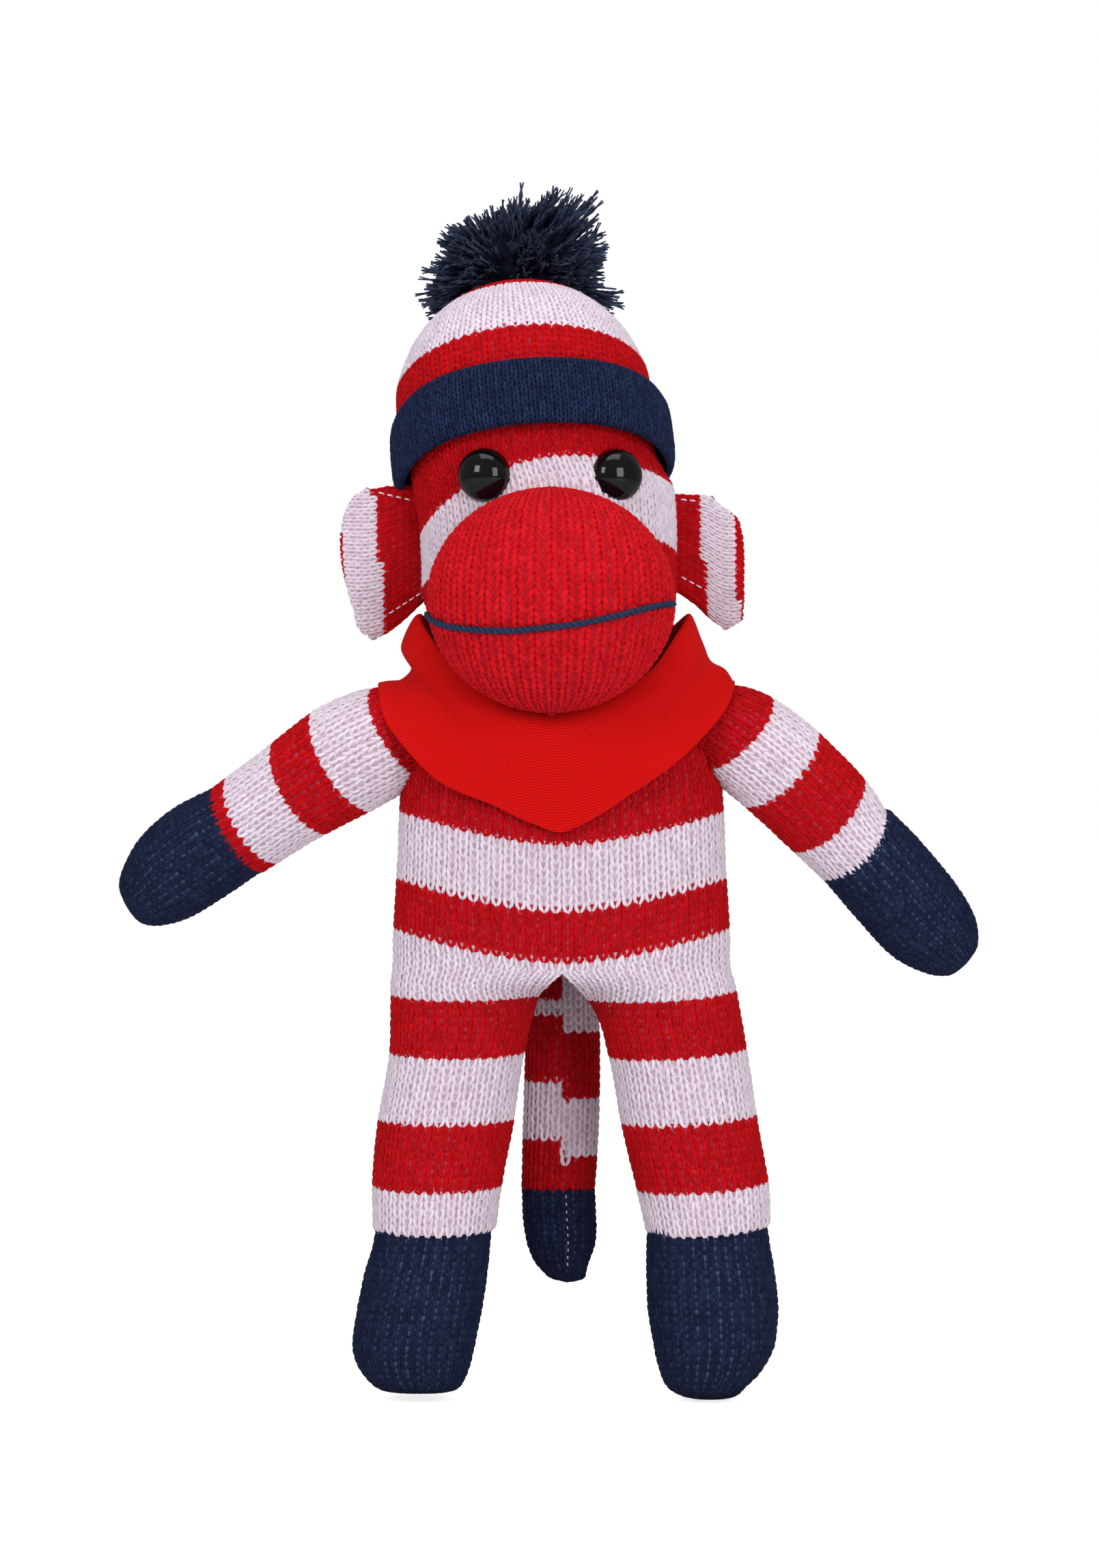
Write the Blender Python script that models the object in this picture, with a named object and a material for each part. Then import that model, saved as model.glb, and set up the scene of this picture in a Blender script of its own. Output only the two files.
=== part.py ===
"""Sock monkey doll in striped knit, upright on the flats of its stuffed feet.

The torso carries everything. The legs turn on barrels under it, the arms on balls in its
sides, the head on a ball in its neck and the tail on a ball in its back. Left and right
are the doll's own, so left is +X. It faces -Y, with the origin on the floor.
Lengths are in metres, angles in degrees.
"""

import math

import bmesh
import bpy
from mathutils import Matrix, Vector

for old in list(bpy.data.objects):
    bpy.data.objects.remove(old, do_unlink=True)

# Fits shared by the whole doll
CLEAR = 0.0003
OVERRUN = 0.02
BODY_X = 0.0029
HIP_Z = 0.0875
POLE_ANGLE = 20
SHARP_ANGLE = 50

# Torso: a stuffed tube, gathered at the neck, with the hips cut out below
CROTCH_UP = 0.0070
TORSO_HALF_W = 0.0370
TORSO_HALF_D = 0.0200
TORSO_POWER = 2.4
TORSO_SHARES = (
    (0.00, 0.90, 0.66),
    (0.05, 1.02, 0.88),
    (0.15, 1.03, 0.94),
    (0.28, 1.00, 0.97),
    (0.435, 0.99, 1.00),
    (0.63, 0.985, 0.985),
    (0.785, 0.965, 0.91),
    (0.88, 0.90, 0.84),
    (0.95, 0.74, 0.76),
)

# Neck: a ball under the head, and the yarn that is wound round it
NECK_UP = 0.0715
NECK_BALL_R = 0.0125
NECK_BALL_TOP = 108
NECK_WALL = 0.0022
NECK_TIE_R = 0.0012

# Head, from the underside of the chin to the crown
CHIN_UP = 0.0045
HEAD_H = 0.0840
HEAD_HALF_W = 0.0294
HEAD_HALF_D = 0.0280
HEAD_LEAN_X = -0.0060
HEAD_LEAN_Y = 0.0080
HEAD_POWER = 2.1
CHIN_SHARE = 0.2
HEAD_SHARES = (
    (0.018, 0.600, 0.570, 0.00, 0.00),
    (0.048, 0.750, 0.715, 0.00, 0.00),
    (0.100, 0.890, 0.840, 0.00, 0.00),
    (0.185, 0.967, 0.915, 0.00, 0.00),
    (0.285, 1.000, 0.950, 0.00, 0.00),
    (0.387, 0.997, 0.968, 0.06, 0.05),
    (0.482, 0.945, 0.980, 0.32, 0.15),
    (0.577, 0.950, 1.000, 0.62, 0.37),
    (0.673, 0.915, 1.000, 0.72, 0.56),
    (0.768, 0.840, 0.945, 0.80, 0.75),
    (0.863, 0.690, 0.820, 0.88, 1.00),
    (0.935, 0.470, 0.570, 0.94, 1.15),
    (0.982, 0.220, 0.285, 0.98, 1.20),
)

# Muzzle: a stuffed half ball sewn to the face, with the yarn of the mouth across it
MUZZLE_X = 0.0007
MUZZLE_IN = 0.0020
MUZZLE_UP_SHARE = 0.1845
MUZZLE_HALF_W = 0.0283
MUZZLE_HALF_H = 0.0255
MUZZLE_FRONT_D = 0.0225
MUZZLE_BACK_D = 0.0060
MOUTH_YARN_R = 0.0006
MOUTH_DROP = 0.0055
MOUTH_RISE = 0.0035
MOUTH_REACH = 78

# Safety eyes: a dome on a shank, held by a washer inside the head
EYE_UP_SHARE = 0.5155
EYE_OUT = 0.0148
EYE_YAW = 17
EYE_R = 0.0060
EYE_DOME_H = 0.0042
EYE_RIM_H = 0.0010
SHANK_R = 0.0017
SHANK_L = 0.0090
WASHER_R = 0.0062
WASHER_H = 0.0014
WASHER_DEPTH = 0.0036
WASHER_PLAY = 0.0003

# Ears: a doubled piece of knit, hemmed and cupped forwards
EAR_W = 0.0155
EAR_HALF_H = 0.0160
EAR_BELOW_HAT = 0.0042
EAR_Y = 0.0020
EAR_T = 0.0026
EAR_CUP = 0.0030
EAR_SEAT = 0.0005
EAR_POWER = 3.2
EAR_SHARES = (
    (0.00, 0.86, 0.50),
    (0.05, 0.90, 0.95),
    (0.20, 0.98, 1.00),
    (0.40, 1.00, 1.00),
    (0.60, 0.94, 1.00),
    (0.78, 0.80, 1.00),
    (0.90, 0.60, 0.95),
    (0.97, 0.34, 0.70),
)

# Hat: a striped crown in a folded cuff, tipped back on the head
HAT_X = -0.0039
HAT_UP_SHARE = 0.506
HAT_TILT = 25
HAT_LEAN = 5
HAT_FIT_SHARE = 0.993
HAT_DEPTH_SHARE = 1.05
HAT_TALL_SHARE = 0.5714
HAT_SHARES = (
    (0.02, 0.975),
    (0.16, 0.98),
    (0.33, 0.985),
    (0.53, 0.955),
    (0.70, 0.840),
    (0.84, 0.650),
    (0.935, 0.410),
    (0.985, 0.170),
)
CUFF_H = 0.0155
CUFF_T = 0.0024
CUFF_POWER = 3.5

# Pompom: a clipped ball of yarn on the back of the hat's tip
POMPOM_ACROSS = 0.0022
POMPOM_BEHIND = 0.0093
POMPOM_ABOVE = 0.0032
POMPOM_R = 0.0215
POMPOM_D = 0.0188
POMPOM_LUMP = 0.0008
POMPOM_LUMPS = 10
POMPOM_TWIST = 2

# Bandana: one layer of jersey over the chest and shoulders, knotted behind the neck
CLOTH_T = 0.0010
CLOTH_OFF = 0.0007
COLLAR_HALF_W = 0.0242
COLLAR_HALF_D = 0.0172
COLLAR_UP = 0.0015
COLLAR_SIDE_RISE = 0.0045
COLLAR_BACK_RISE = 0.0015
CLOTH_TIP_DOWN = 0.0315
CLOTH_FLANK_DOWN = 0.0160
CLOTH_BACK_DOWN = 0.0090
CLOTH_FLANK_SHARE = 0.9
CLOTH_CURVE = 2.4
CLOTH_SHOULDER_IN = 0.0008
CLOTH_SHOULDER_UP = 0.0011
CLOTH_ROUND_SHARE = 0.9
CLOTH_TILT_SHARE = 0.4
COLLAR_BLEND_SHARE = 0.333
CLOTH_FOLD = 0.0005
CLOTH_FOLDS = 9
KNOT_W = 0.0052
KNOT_H = 0.0040
KNOT_D = 0.0034
KNOT_DOWN_SHARE = 0.40

# Arms: a ball in the torso's side, a striped sleeve and a navy hand
SHOULDER_PROUD = 0.0005
SHOULDER_DOWN = 0.0107
SHOULDER_POLE = 10
ARM_R = 0.0127
ARM_SHARES = ((0.10, 0.99), (0.25, 0.96), (0.42, 0.92), (0.62, 0.885), (0.85, 0.87), (1.0, 0.86))
HAND_SHARES = (
    (0.00, 0.86),
    (0.10, 0.885),
    (0.32, 0.90),
    (0.55, 0.88),
    (0.75, 0.81),
    (0.90, 0.63),
    (0.97, 0.40),
)
ARM_DROP = {"left": 43.8, "right": 30.3}
SLEEVE_L = {"left": 0.0380, "right": 0.0412}
ARM_L = {"left": 0.0740, "right": 0.0712}
ARM_LOWEST = 54
THREAD_R = 0.0006
THREAD_POLE = 24

# Legs: a barrel under the torso, a striped tube and a navy foot
HIP_OUT = 0.0227
HIP_R = 0.0145
HIP_HALF_W = 0.0160
HIP_POWER = 4
HIP_RAISE = 75
HIP_BACK = 15
FOOT_OUT = 0.0345
ANKLE_Z = 0.0384
LEG_POWER = 2.3
LEG_SHARES = (
    (0.00, 0.850, 0.940, 2.2),
    (0.07, 0.875, 0.960, 2.2),
    (0.25, 0.900, 0.970, 2.2),
    (0.45, 0.915, 0.980, 2.2),
    (0.65, 0.925, 0.985, 2.3),
    (0.82, 0.950, 0.990, 2.8),
    (0.93, 0.985, 1.000, 3.5),
)
FOOT_HALF_W = 0.0142
FOOT_HALF_D = 0.0163
FOOT_FORWARD = 0.0045
FOOT_SHARES = (
    (1.00, 0.965, 0.840, 0.00),
    (0.88, 0.995, 0.880, 0.10),
    (0.62, 1.000, 0.930, 0.45),
    (0.36, 1.000, 1.000, 0.90),
    (0.18, 0.960, 0.995, 1.00),
    (0.06, 0.840, 0.900, 1.00),
    (0.00, 0.690, 0.770, 1.00),
)

# Tail: a slim stuffed tube hung from the torso's back, with a navy tip
TAIL_X = 0.0024
TAIL_BEHIND = 0.0035
TAIL_UP = 0.0205
TAIL_R = 0.0080
TAIL_L = 0.0823
TAIL_TIP_L = 0.0212
TAIL_SHARES = ((0.15, 0.98), (0.45, 0.97), (0.75, 0.99), (1.0, 1.0))
TAIL_TIP_SHARES = ((0.0, 1.0), (0.25, 1.02), (0.50, 0.97), (0.75, 0.82), (0.92, 0.52))

# Points round each kind of piece
ROUND_BODY = 28
ROUND_LIMB = 20
ROUND_SMALL = 16
ROUND_YARN = 6
BALL_STEPS = 5
COLLAR_STEPS = 40

SIDES = {"left": 1, "right": -1}

# Places that follow from these sizes
CROTCH_Z = HIP_Z + CROTCH_UP
NECK_Z = HIP_Z + NECK_UP
CHIN_Z = NECK_Z + CHIN_UP
MUZZLE_Y = MUZZLE_IN - HEAD_HALF_D
MUZZLE_Z = CHIN_Z + MUZZLE_UP_SHARE * HEAD_H
EYE_Z = CHIN_Z + EYE_UP_SHARE * HEAD_H
HAT_Z = CHIN_Z + HAT_UP_SHARE * HEAD_H
HAT_R = HAT_FIT_SHARE * max(HEAD_HALF_W, HAT_DEPTH_SHARE * HEAD_HALF_D)
HAT_H = HAT_TALL_SHARE * HEAD_H
EAR_Z = HAT_Z - EAR_BELOW_HAT - EAR_HALF_H
SHOULDER_OUT = TORSO_HALF_W + SHOULDER_PROUD
SHOULDER_Z = NECK_Z - SHOULDER_DOWN
TAIL_Y = TORSO_HALF_D + TAIL_BEHIND
TAIL_Z = HIP_Z + TAIL_UP


def superellipse(count, half_w, half_d, power):
    """Points of a rounded oval, from +X round by +Y."""
    points = []
    for i in range(count):
        turn = 2 * math.pi * i / count
        c, s = math.cos(turn), math.sin(turn)
        x = half_w * math.copysign(abs(c) ** (2 / power), c)
        y = half_d * math.copysign(abs(s) ** (2 / power), s)
        points.append((x, y))
    return points


def ring(frame, along, half_w, half_d, power=2, shift=(0, 0), count=ROUND_LIMB):
    """One oval section of a stuffed piece, at a distance along the frame's Z."""
    return [
        frame @ Vector((x + shift[0], y + shift[1], along))
        for x, y in superellipse(count, half_w, half_d, power)
    ]


def loft(rings, start=None, end=None):
    """Skin a row of rings. Start and end are points that close it; without one it is flat."""
    bm = bmesh.new()
    rows = [[bm.verts.new(point) for point in points] for points in rings]
    count = len(rows[0])
    for low, high in zip(rows, rows[1:]):
        for i in range(count):
            j = (i + 1) % count
            bm.faces.new((low[i], low[j], high[j], high[i]))
    for row, tip in ((rows[0], start), (rows[-1], end)):
        if tip is None:
            bm.faces.new(row)
            continue
        pole = bm.verts.new(tip)
        for i in range(count):
            bm.faces.new((row[i], row[(i + 1) % count], pole))
    bmesh.ops.recalc_face_normals(bm, faces=bm.faces)
    return bm


def closed_loop(sections):
    """Skin sections that come back to the first, as in a ring or a cuff."""
    bm = bmesh.new()
    rows = [[bm.verts.new(point) for point in points] for points in sections]
    count = len(rows[0])
    for k, low in enumerate(rows):
        high = rows[(k + 1) % len(rows)]
        for i in range(count):
            j = (i + 1) % count
            bm.faces.new((low[i], low[j], high[j], high[i]))
    bmesh.ops.recalc_face_normals(bm, faces=bm.faces)
    return bm


def torus(frame, ring_r, tube_r, around, along=0.0):
    """A ring of round yarn about the frame's Z."""
    sections = []
    for k in range(around):
        turn = 2 * math.pi * k / around
        outward = Vector((math.cos(turn), math.sin(turn), 0))
        section = []
        for x, z in superellipse(ROUND_YARN, tube_r, tube_r, 2):
            section.append(frame @ (outward * (ring_r + x) + Vector((0, 0, along + z))))
        sections.append(section)
    return closed_loop(sections)


def tube(path, radius):
    """A round yarn along a row of points, with flat ends."""
    rings = []
    for k, point in enumerate(path):
        ahead = path[min(k + 1, len(path) - 1)]
        behind = path[max(k - 1, 0)]
        turn = Vector((0, 0, 1)).rotation_difference(ahead - behind)
        frame = Matrix.Translation(point) @ turn.to_matrix().to_4x4()
        rings.append(ring(frame, 0, radius, radius, count=ROUND_YARN))
    return loft(rings)


def material(name, colour, roughness):
    """A plain finish in the piece's main colour."""
    finish = bpy.data.materials.new(name)
    finish.use_nodes = True
    shader = finish.node_tree.nodes["Principled BSDF"]
    shader.inputs["Base Color"].default_value = (*colour, 1)
    shader.inputs["Roughness"].default_value = roughness
    shader.inputs["Metallic"].default_value = 0
    return finish


RED_KNIT = material("red_knit", (0.58, 0.002, 0.007), 0.9)
WHITE_KNIT = material("white_knit", (0.80, 0.76, 0.84), 0.9)
NAVY_KNIT = material("navy_knit", (0.013, 0.039, 0.127), 0.9)
MUZZLE_KNIT = material("muzzle_knit", (0.58, 0.008, 0.017), 0.9)
JERSEY = material("jersey", (0.75, 0.013, 0.007), 0.8)
POMPOM_YARN = material("pompom_yarn", (0.011, 0.017, 0.048), 0.95)
MOUTH_YARN = material("mouth_yarn", (0.032, 0.045, 0.114), 0.9)
EYE_BLACK = material("eye_black", (0.004, 0.004, 0.004), 0.08)
WASHER_WHITE = material("washer_white", (0.72, 0.72, 0.70), 0.4)


def add(name, bm, finish, origin=(0, 0, 0)):
    """Make an object whose own origin stands at the given place."""
    bmesh.ops.translate(bm, verts=bm.verts, vec=-Vector(origin))
    mesh = bpy.data.meshes.new(name)
    bm.to_mesh(mesh)
    bm.free()
    mesh.shade_smooth()
    mesh.set_sharp_from_angle(angle=math.radians(SHARP_ANGLE))
    mesh.materials.append(finish)
    piece = bpy.data.objects.new(name, mesh)
    piece.location = origin
    bpy.context.collection.objects.link(piece)
    return piece


def cut(piece, bm, what):
    """Cut a shape out of a piece, and keep the cutter as a hidden wire."""
    cutter = add(f"cut_{piece.name}_{what}", bm, WASHER_WHITE)
    cutter.hide_render = True
    cutter.display_type = "WIRE"
    step = piece.modifiers.new(what, "BOOLEAN")
    step.operation = "DIFFERENCE"
    step.object = cutter
    return cutter


def at(x, y, z):
    return Matrix.Translation((x, y, z))


# Torso
RIM_Z = NECK_Z - NECK_TIE_R - CLEAR
RIM_R = NECK_BALL_R + CLEAR + NECK_WALL
TORSO_H = RIM_Z - CROTCH_Z


def torso_rings(grow=0.0):
    """Sections of the torso from crotch to neck, and the same swollen by a clearance."""
    frame = at(BODY_X, 0, 0)
    rings = [
        ring(
            frame,
            CROTCH_Z + share * TORSO_H - (grow if share == 0 else 0),
            wide * TORSO_HALF_W + grow,
            deep * TORSO_HALF_D + grow,
            TORSO_POWER,
            count=ROUND_BODY,
        )
        for share, wide, deep in TORSO_SHARES
    ]
    rings.append(ring(frame, RIM_Z + grow, RIM_R + grow, RIM_R + grow, count=ROUND_BODY))
    return rings


def ball_rings(frame, radius, first, last, steps, count=ROUND_LIMB):
    """Sections of a ball between two angles measured from the frame's -Z pole."""
    rings = []
    for k in range(steps + 1):
        angle = math.radians(first + (last - first) * k / steps)
        wide = radius * math.sin(angle)
        rings.append(ring(frame, -radius * math.cos(angle), wide, wide, count=count))
    return rings


def ball(frame, radius, count=ROUND_LIMB):
    """A whole ball, for a socket."""
    step = 180 / (2 * BALL_STEPS)
    rings = ball_rings(frame, radius, step, 180 - step, 2 * BALL_STEPS - 2, count)
    return loft(rings, frame @ Vector((0, 0, -radius)), frame @ Vector((0, 0, radius)))


def hip_space(side):
    """The room that one leg sweeps under the torso, between its two limits."""
    radius = HIP_R + CLEAR
    reach = 2 * TORSO_HALF_D
    raised, back = math.radians(HIP_RAISE), math.radians(HIP_BACK)
    outline = []
    first, last = math.pi - raised, back
    for k in range(2 * BALL_STEPS + 1):
        angle = first + (last - first) * k / (2 * BALL_STEPS)
        outline.append((radius * math.cos(angle), radius * math.sin(angle)))
    y, z = outline[-1]
    outline.append((y + reach * math.sin(back), z - reach * math.cos(back)))
    y, z = outline[0]
    outline.append((y - reach * math.sin(raised), z - reach * math.cos(raised) - OVERRUN))
    y, z = outline[0]
    outline.append((y - reach * math.sin(raised), z - reach * math.cos(raised)))
    inner = BODY_X + side * (HIP_OUT - HIP_HALF_W - CLEAR)
    outer = BODY_X + side * (TORSO_HALF_W + OVERRUN)
    walls = [[Vector((x, y, HIP_Z + z)) for y, z in outline] for x in (inner, outer)]
    return loft(walls)


def shoulder_frame(side):
    """A frame at the shoulder's pivot whose Z points straight out of the torso."""
    outward = Matrix.Rotation(math.radians(90 * side), 4, "Y")
    return at(BODY_X + side * SHOULDER_OUT, 0, SHOULDER_Z) @ outward


def shoulder_space(side):
    """The seat of an arm's ball, flared for the lowest that the arm hangs."""
    frame = shoulder_frame(side)
    radius = ARM_R + CLEAR
    rings = ball_rings(frame, radius, SHOULDER_POLE, 90 - ARM_LOWEST, 2)
    low = math.radians(ARM_LOWEST)
    reach = SHOULDER_OUT
    far = radius * math.cos(low) + reach * math.sin(low)
    rings.append(ring(frame, -radius * math.sin(low) + reach * math.cos(low), far, far))
    return loft(rings, frame @ Vector((0, 0, -radius)))


def tail_space():
    """The ball seat of the tail, and the hollow of the back that it hangs in."""
    frame = at(TAIL_X, TAIL_Y, TAIL_Z) @ Matrix.Rotation(math.pi, 4, "X")
    radius = TAIL_R + CLEAR
    rings = ball_rings(frame, radius, POLE_ANGLE, 90, BALL_STEPS)
    rings.append(ring(frame, TAIL_Z - CROTCH_Z + OVERRUN, radius, radius))
    return loft(rings, frame @ Vector((0, 0, -radius)))


torso = add("torso", loft(torso_rings()), RED_KNIT)
cut(torso, ball(at(BODY_X, 0, NECK_Z), NECK_BALL_R + CLEAR, ROUND_BODY), "neck_seat")
for name, side in SIDES.items():
    cut(torso, hip_space(side), f"hip_{name}")
    cut(torso, shoulder_space(side), f"shoulder_{name}")
cut(torso, tail_space(), "tail_seat")

# Threads that hold the arms, each in a groove of the torso's seat
THREAD_SEAT_R = ARM_R + CLEAR + THREAD_R
THREAD_RING_R = THREAD_SEAT_R * math.sin(math.radians(THREAD_POLE))
THREAD_ALONG = -THREAD_SEAT_R * math.cos(math.radians(THREAD_POLE))
for name, side in SIDES.items():
    frame = shoulder_frame(side)
    groove = torus(frame, THREAD_RING_R, THREAD_R + CLEAR, ROUND_SMALL, THREAD_ALONG)
    cut(torso, groove, f"thread_{name}")
    loop = torus(frame, THREAD_RING_R, THREAD_R, ROUND_SMALL, THREAD_ALONG)
    add(f"shoulder_thread_{name}", loop, WHITE_KNIT, frame.translation)

# Neck tie: turns of yarn drawn tight between torso and head
tie_frame = at(BODY_X, 0, NECK_Z)
tie_r = NECK_BALL_R + CLEAR + NECK_TIE_R
add("neck_tie", torus(tie_frame, tie_r, NECK_TIE_R, ROUND_BODY), NAVY_KNIT, tie_frame.translation)

# Head


def head_sections():
    """Height, half width, half depth, centre x and centre y, from the chin to the crown."""
    rows = []
    for share, wide, deep, lean_x, lean_y in HEAD_SHARES:
        z = CHIN_Z + share * HEAD_H
        x = BODY_X * (1 - min(1, share / CHIN_SHARE)) + lean_x * HEAD_LEAN_X
        rows.append((z, wide * HEAD_HALF_W, deep * HEAD_HALF_D, x, lean_y * HEAD_LEAN_Y))
    return rows


def head_shape(grow=0.0):
    """The head on the ball of its neck, and the same swollen by a clearance."""
    neck = at(BODY_X, 0, NECK_Z)
    rings = ball_rings(neck, NECK_BALL_R, POLE_ANGLE, NECK_BALL_TOP, BALL_STEPS, ROUND_BODY)
    for z, half_w, half_d, x, y in head_sections():
        half_w, half_d = half_w + grow, half_d + grow
        rings.append(ring(at(x, y, z), 0, half_w, half_d, HEAD_POWER, count=ROUND_BODY))
    start = neck @ Vector((0, 0, -NECK_BALL_R))
    lean_x, lean_y = HEAD_SHARES[-1][3:]
    end = Vector((lean_x * HEAD_LEAN_X, lean_y * HEAD_LEAN_Y, CHIN_Z + HEAD_H + grow))
    return loft(rings, start, end)


def face_depth(x, z):
    """How far forward the head's skin lies at a place on the face."""
    rows = head_sections()
    for low, high in zip(rows, rows[1:]):
        if low[0] <= z <= high[0]:
            t = (z - low[0]) / (high[0] - low[0])
            half_w, half_d, cx, cy = (a + (b - a) * t for a, b in zip(low[1:], high[1:]))
            across = abs((x - cx) / half_w)
            return cy - half_d * (1 - across**HEAD_POWER) ** (1 / HEAD_POWER)
    raise ValueError("the face has no skin at that height")


head = add("head", head_shape(), RED_KNIT, (BODY_X, 0, NECK_Z))

# Eyes, washers and the holes that they stand in


def eye_frame(side):
    """A frame on the face whose Z looks out through the eye."""
    x = side * EYE_OUT
    turn = Matrix.Rotation(math.radians(90), 4, "X")
    yaw = Matrix.Rotation(math.radians(side * EYE_YAW), 4, "Z")
    return at(x, face_depth(x, EYE_Z), EYE_Z) @ yaw @ turn


def turned(frame, profile, count, start=None, end=None):
    """A turned piece from a profile of radius and height, closed by poles or flat."""
    rings = [ring(frame, height, radius, radius, count=count) for radius, height in profile]
    tips = [None if tip is None else frame @ Vector((0, 0, tip)) for tip in (start, end)]
    return loft(rings, *tips)


def eye_profile():
    """The shank from its inner end, then the flat back, the rim and the dome."""
    profile = [(SHANK_R, -SHANK_L), (SHANK_R, CLEAR), (EYE_R, CLEAR), (EYE_R, EYE_RIM_H)]
    for k in range(1, BALL_STEPS):
        angle = 0.5 * math.pi * k / BALL_STEPS
        height = EYE_RIM_H + (EYE_DOME_H - EYE_RIM_H) * math.sin(angle)
        profile.append((EYE_R * math.cos(angle), height))
    return profile


for name, side in SIDES.items():
    frame = eye_frame(side)
    eye = turned(frame, eye_profile(), ROUND_SMALL, end=EYE_DOME_H)
    add(f"eye_{name}", eye, EYE_BLACK, frame.translation)
    top, foot = -WASHER_DEPTH, -WASHER_DEPTH - WASHER_H
    bore = SHANK_R + CLEAR
    washer = closed_loop(
        [
            ring(frame, foot, bore, bore, count=ROUND_SMALL),
            ring(frame, foot, WASHER_R, WASHER_R, count=ROUND_SMALL),
            ring(frame, top, WASHER_R, WASHER_R, count=ROUND_SMALL),
            ring(frame, top, bore, bore, count=ROUND_SMALL),
        ]
    )
    add(f"eye_washer_{name}", washer, WASHER_WHITE, frame.translation)
    pocket_r = WASHER_R + WASHER_PLAY
    well = [
        (bore, -SHANK_L - CLEAR),
        (bore, foot - WASHER_PLAY),
        (pocket_r, foot - WASHER_PLAY),
        (pocket_r, top + WASHER_PLAY),
        (bore, top + WASHER_PLAY),
        (bore, 0),
        (EYE_R + CLEAR, 0),
        (EYE_R + CLEAR, EYE_DOME_H),
    ]
    cut(head, turned(frame, well, ROUND_SMALL), f"eye_{name}")

# Muzzle


def muzzle_depth(x, z):
    """How far forward the muzzle's skin lies."""
    left = 1 - ((x - MUZZLE_X) / MUZZLE_HALF_W) ** 2 - ((z - MUZZLE_Z) / MUZZLE_HALF_H) ** 2
    return MUZZLE_Y - MUZZLE_FRONT_D * math.sqrt(max(0, left))


def muzzle_shape():
    """A full front and a flat back, in level sections."""
    rings = []
    steps = 2 * BALL_STEPS + 2
    for k in range(1, steps):
        angle = math.pi * k / steps
        z = MUZZLE_Z - MUZZLE_HALF_H * math.cos(angle)
        points = []
        for x, y in superellipse(ROUND_BODY, math.sin(angle), math.sin(angle), 2):
            depth = MUZZLE_FRONT_D if y < 0 else MUZZLE_BACK_D
            points.append(Vector((MUZZLE_X + x * MUZZLE_HALF_W, MUZZLE_Y + y * depth, z)))
        rings.append(points)
    low = Vector((MUZZLE_X, MUZZLE_Y, MUZZLE_Z - MUZZLE_HALF_H))
    high = Vector((MUZZLE_X, MUZZLE_Y, MUZZLE_Z + MUZZLE_HALF_H))
    return loft(rings, low, high)


def mouth_path():
    """The mouth's line across the muzzle, drooping in the middle."""
    path = []
    steps = ROUND_LIMB
    for k in range(steps + 1):
        across = math.sin(math.radians(MOUTH_REACH) * (2 * k / steps - 1))
        x = MUZZLE_X + across * MUZZLE_HALF_W
        z = MUZZLE_Z - MOUTH_DROP + MOUTH_RISE * across**2
        path.append(Vector((x, muzzle_depth(x, z) - MOUTH_YARN_R / 2, z)))
    return path


muzzle = add("muzzle", muzzle_shape(), MUZZLE_KNIT)
cut(muzzle, head_shape(CLEAR), "face")
cut(muzzle, tube(mouth_path(), MOUTH_YARN_R + CLEAR), "mouth")
for name, side in SIDES.items():
    room = [(EYE_R + CLEAR, -CLEAR), (EYE_R + CLEAR, EYE_DOME_H + OVERRUN)]
    cut(muzzle, turned(eye_frame(side), room, ROUND_SMALL), f"eye_{name}")
path = mouth_path()
add("mouth_yarn", tube(path[1:-1], MOUTH_YARN_R), MOUTH_YARN)

# Ears
for name, side in SIDES.items():
    root_x = side * (HEAD_HALF_W + CLEAR + EAR_SEAT)
    up = Matrix(((0, 0, side, 0), (0, 1, 0, 0), (1, 0, 0, 0), (0, 0, 0, 1)))
    frame = at(root_x, EAR_Y, EAR_Z) @ up
    rings = []
    for share, tall, thick in EAR_SHARES:
        cupped = -EAR_CUP * share**2
        half_h, half_t = tall * EAR_HALF_H, thick * EAR_T / 2
        rings.append(ring(frame, share * EAR_W, half_h, half_t, EAR_POWER, (0, cupped)))
    ear = loft(rings, None, frame @ Vector((0, -EAR_CUP, EAR_W)))
    add(f"ear_{name}", ear, WHITE_KNIT, (root_x, EAR_Y, EAR_Z))

# Hat
HAT_FRAME = (
    at(HAT_X, 0, HAT_Z)
    @ Matrix.Rotation(math.radians(-HAT_TILT), 4, "X")
    @ Matrix.Rotation(math.radians(-HAT_LEAN), 4, "Y")
)


def crown_shape(grow=0.0):
    """The hat's outside, with everything below the brim left open for the head."""
    rings = [
        ring(HAT_FRAME, share * HAT_H, wide * HAT_R + grow, wide * HAT_R + grow, count=ROUND_BODY)
        for share, wide in HAT_SHARES
    ]
    return loft(rings, None, HAT_FRAME @ Vector((0, 0, HAT_H + grow)))


crown = add("hat_crown", crown_shape(), RED_KNIT)
cut(crown, head_shape(CLEAR), "head")

inner_r = HAT_R * HAT_SHARES[2][1] + CLEAR
sections = []
for k in range(ROUND_BODY):
    turn = 2 * math.pi * k / ROUND_BODY
    outward = Vector((math.cos(turn), math.sin(turn), 0))
    section = []
    for x, z in superellipse(ROUND_SMALL // 2, CUFF_T / 2, CUFF_H / 2, CUFF_POWER):
        upward = Vector((0, 0, CUFF_H / 2 + z))
        section.append(HAT_FRAME @ (outward * (inner_r + CUFF_T / 2 + x) + upward))
    sections.append(section)
cuff = add("hat_cuff", closed_loop(sections), NAVY_KNIT)
cut(cuff, head_shape(CLEAR), "head")

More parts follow.
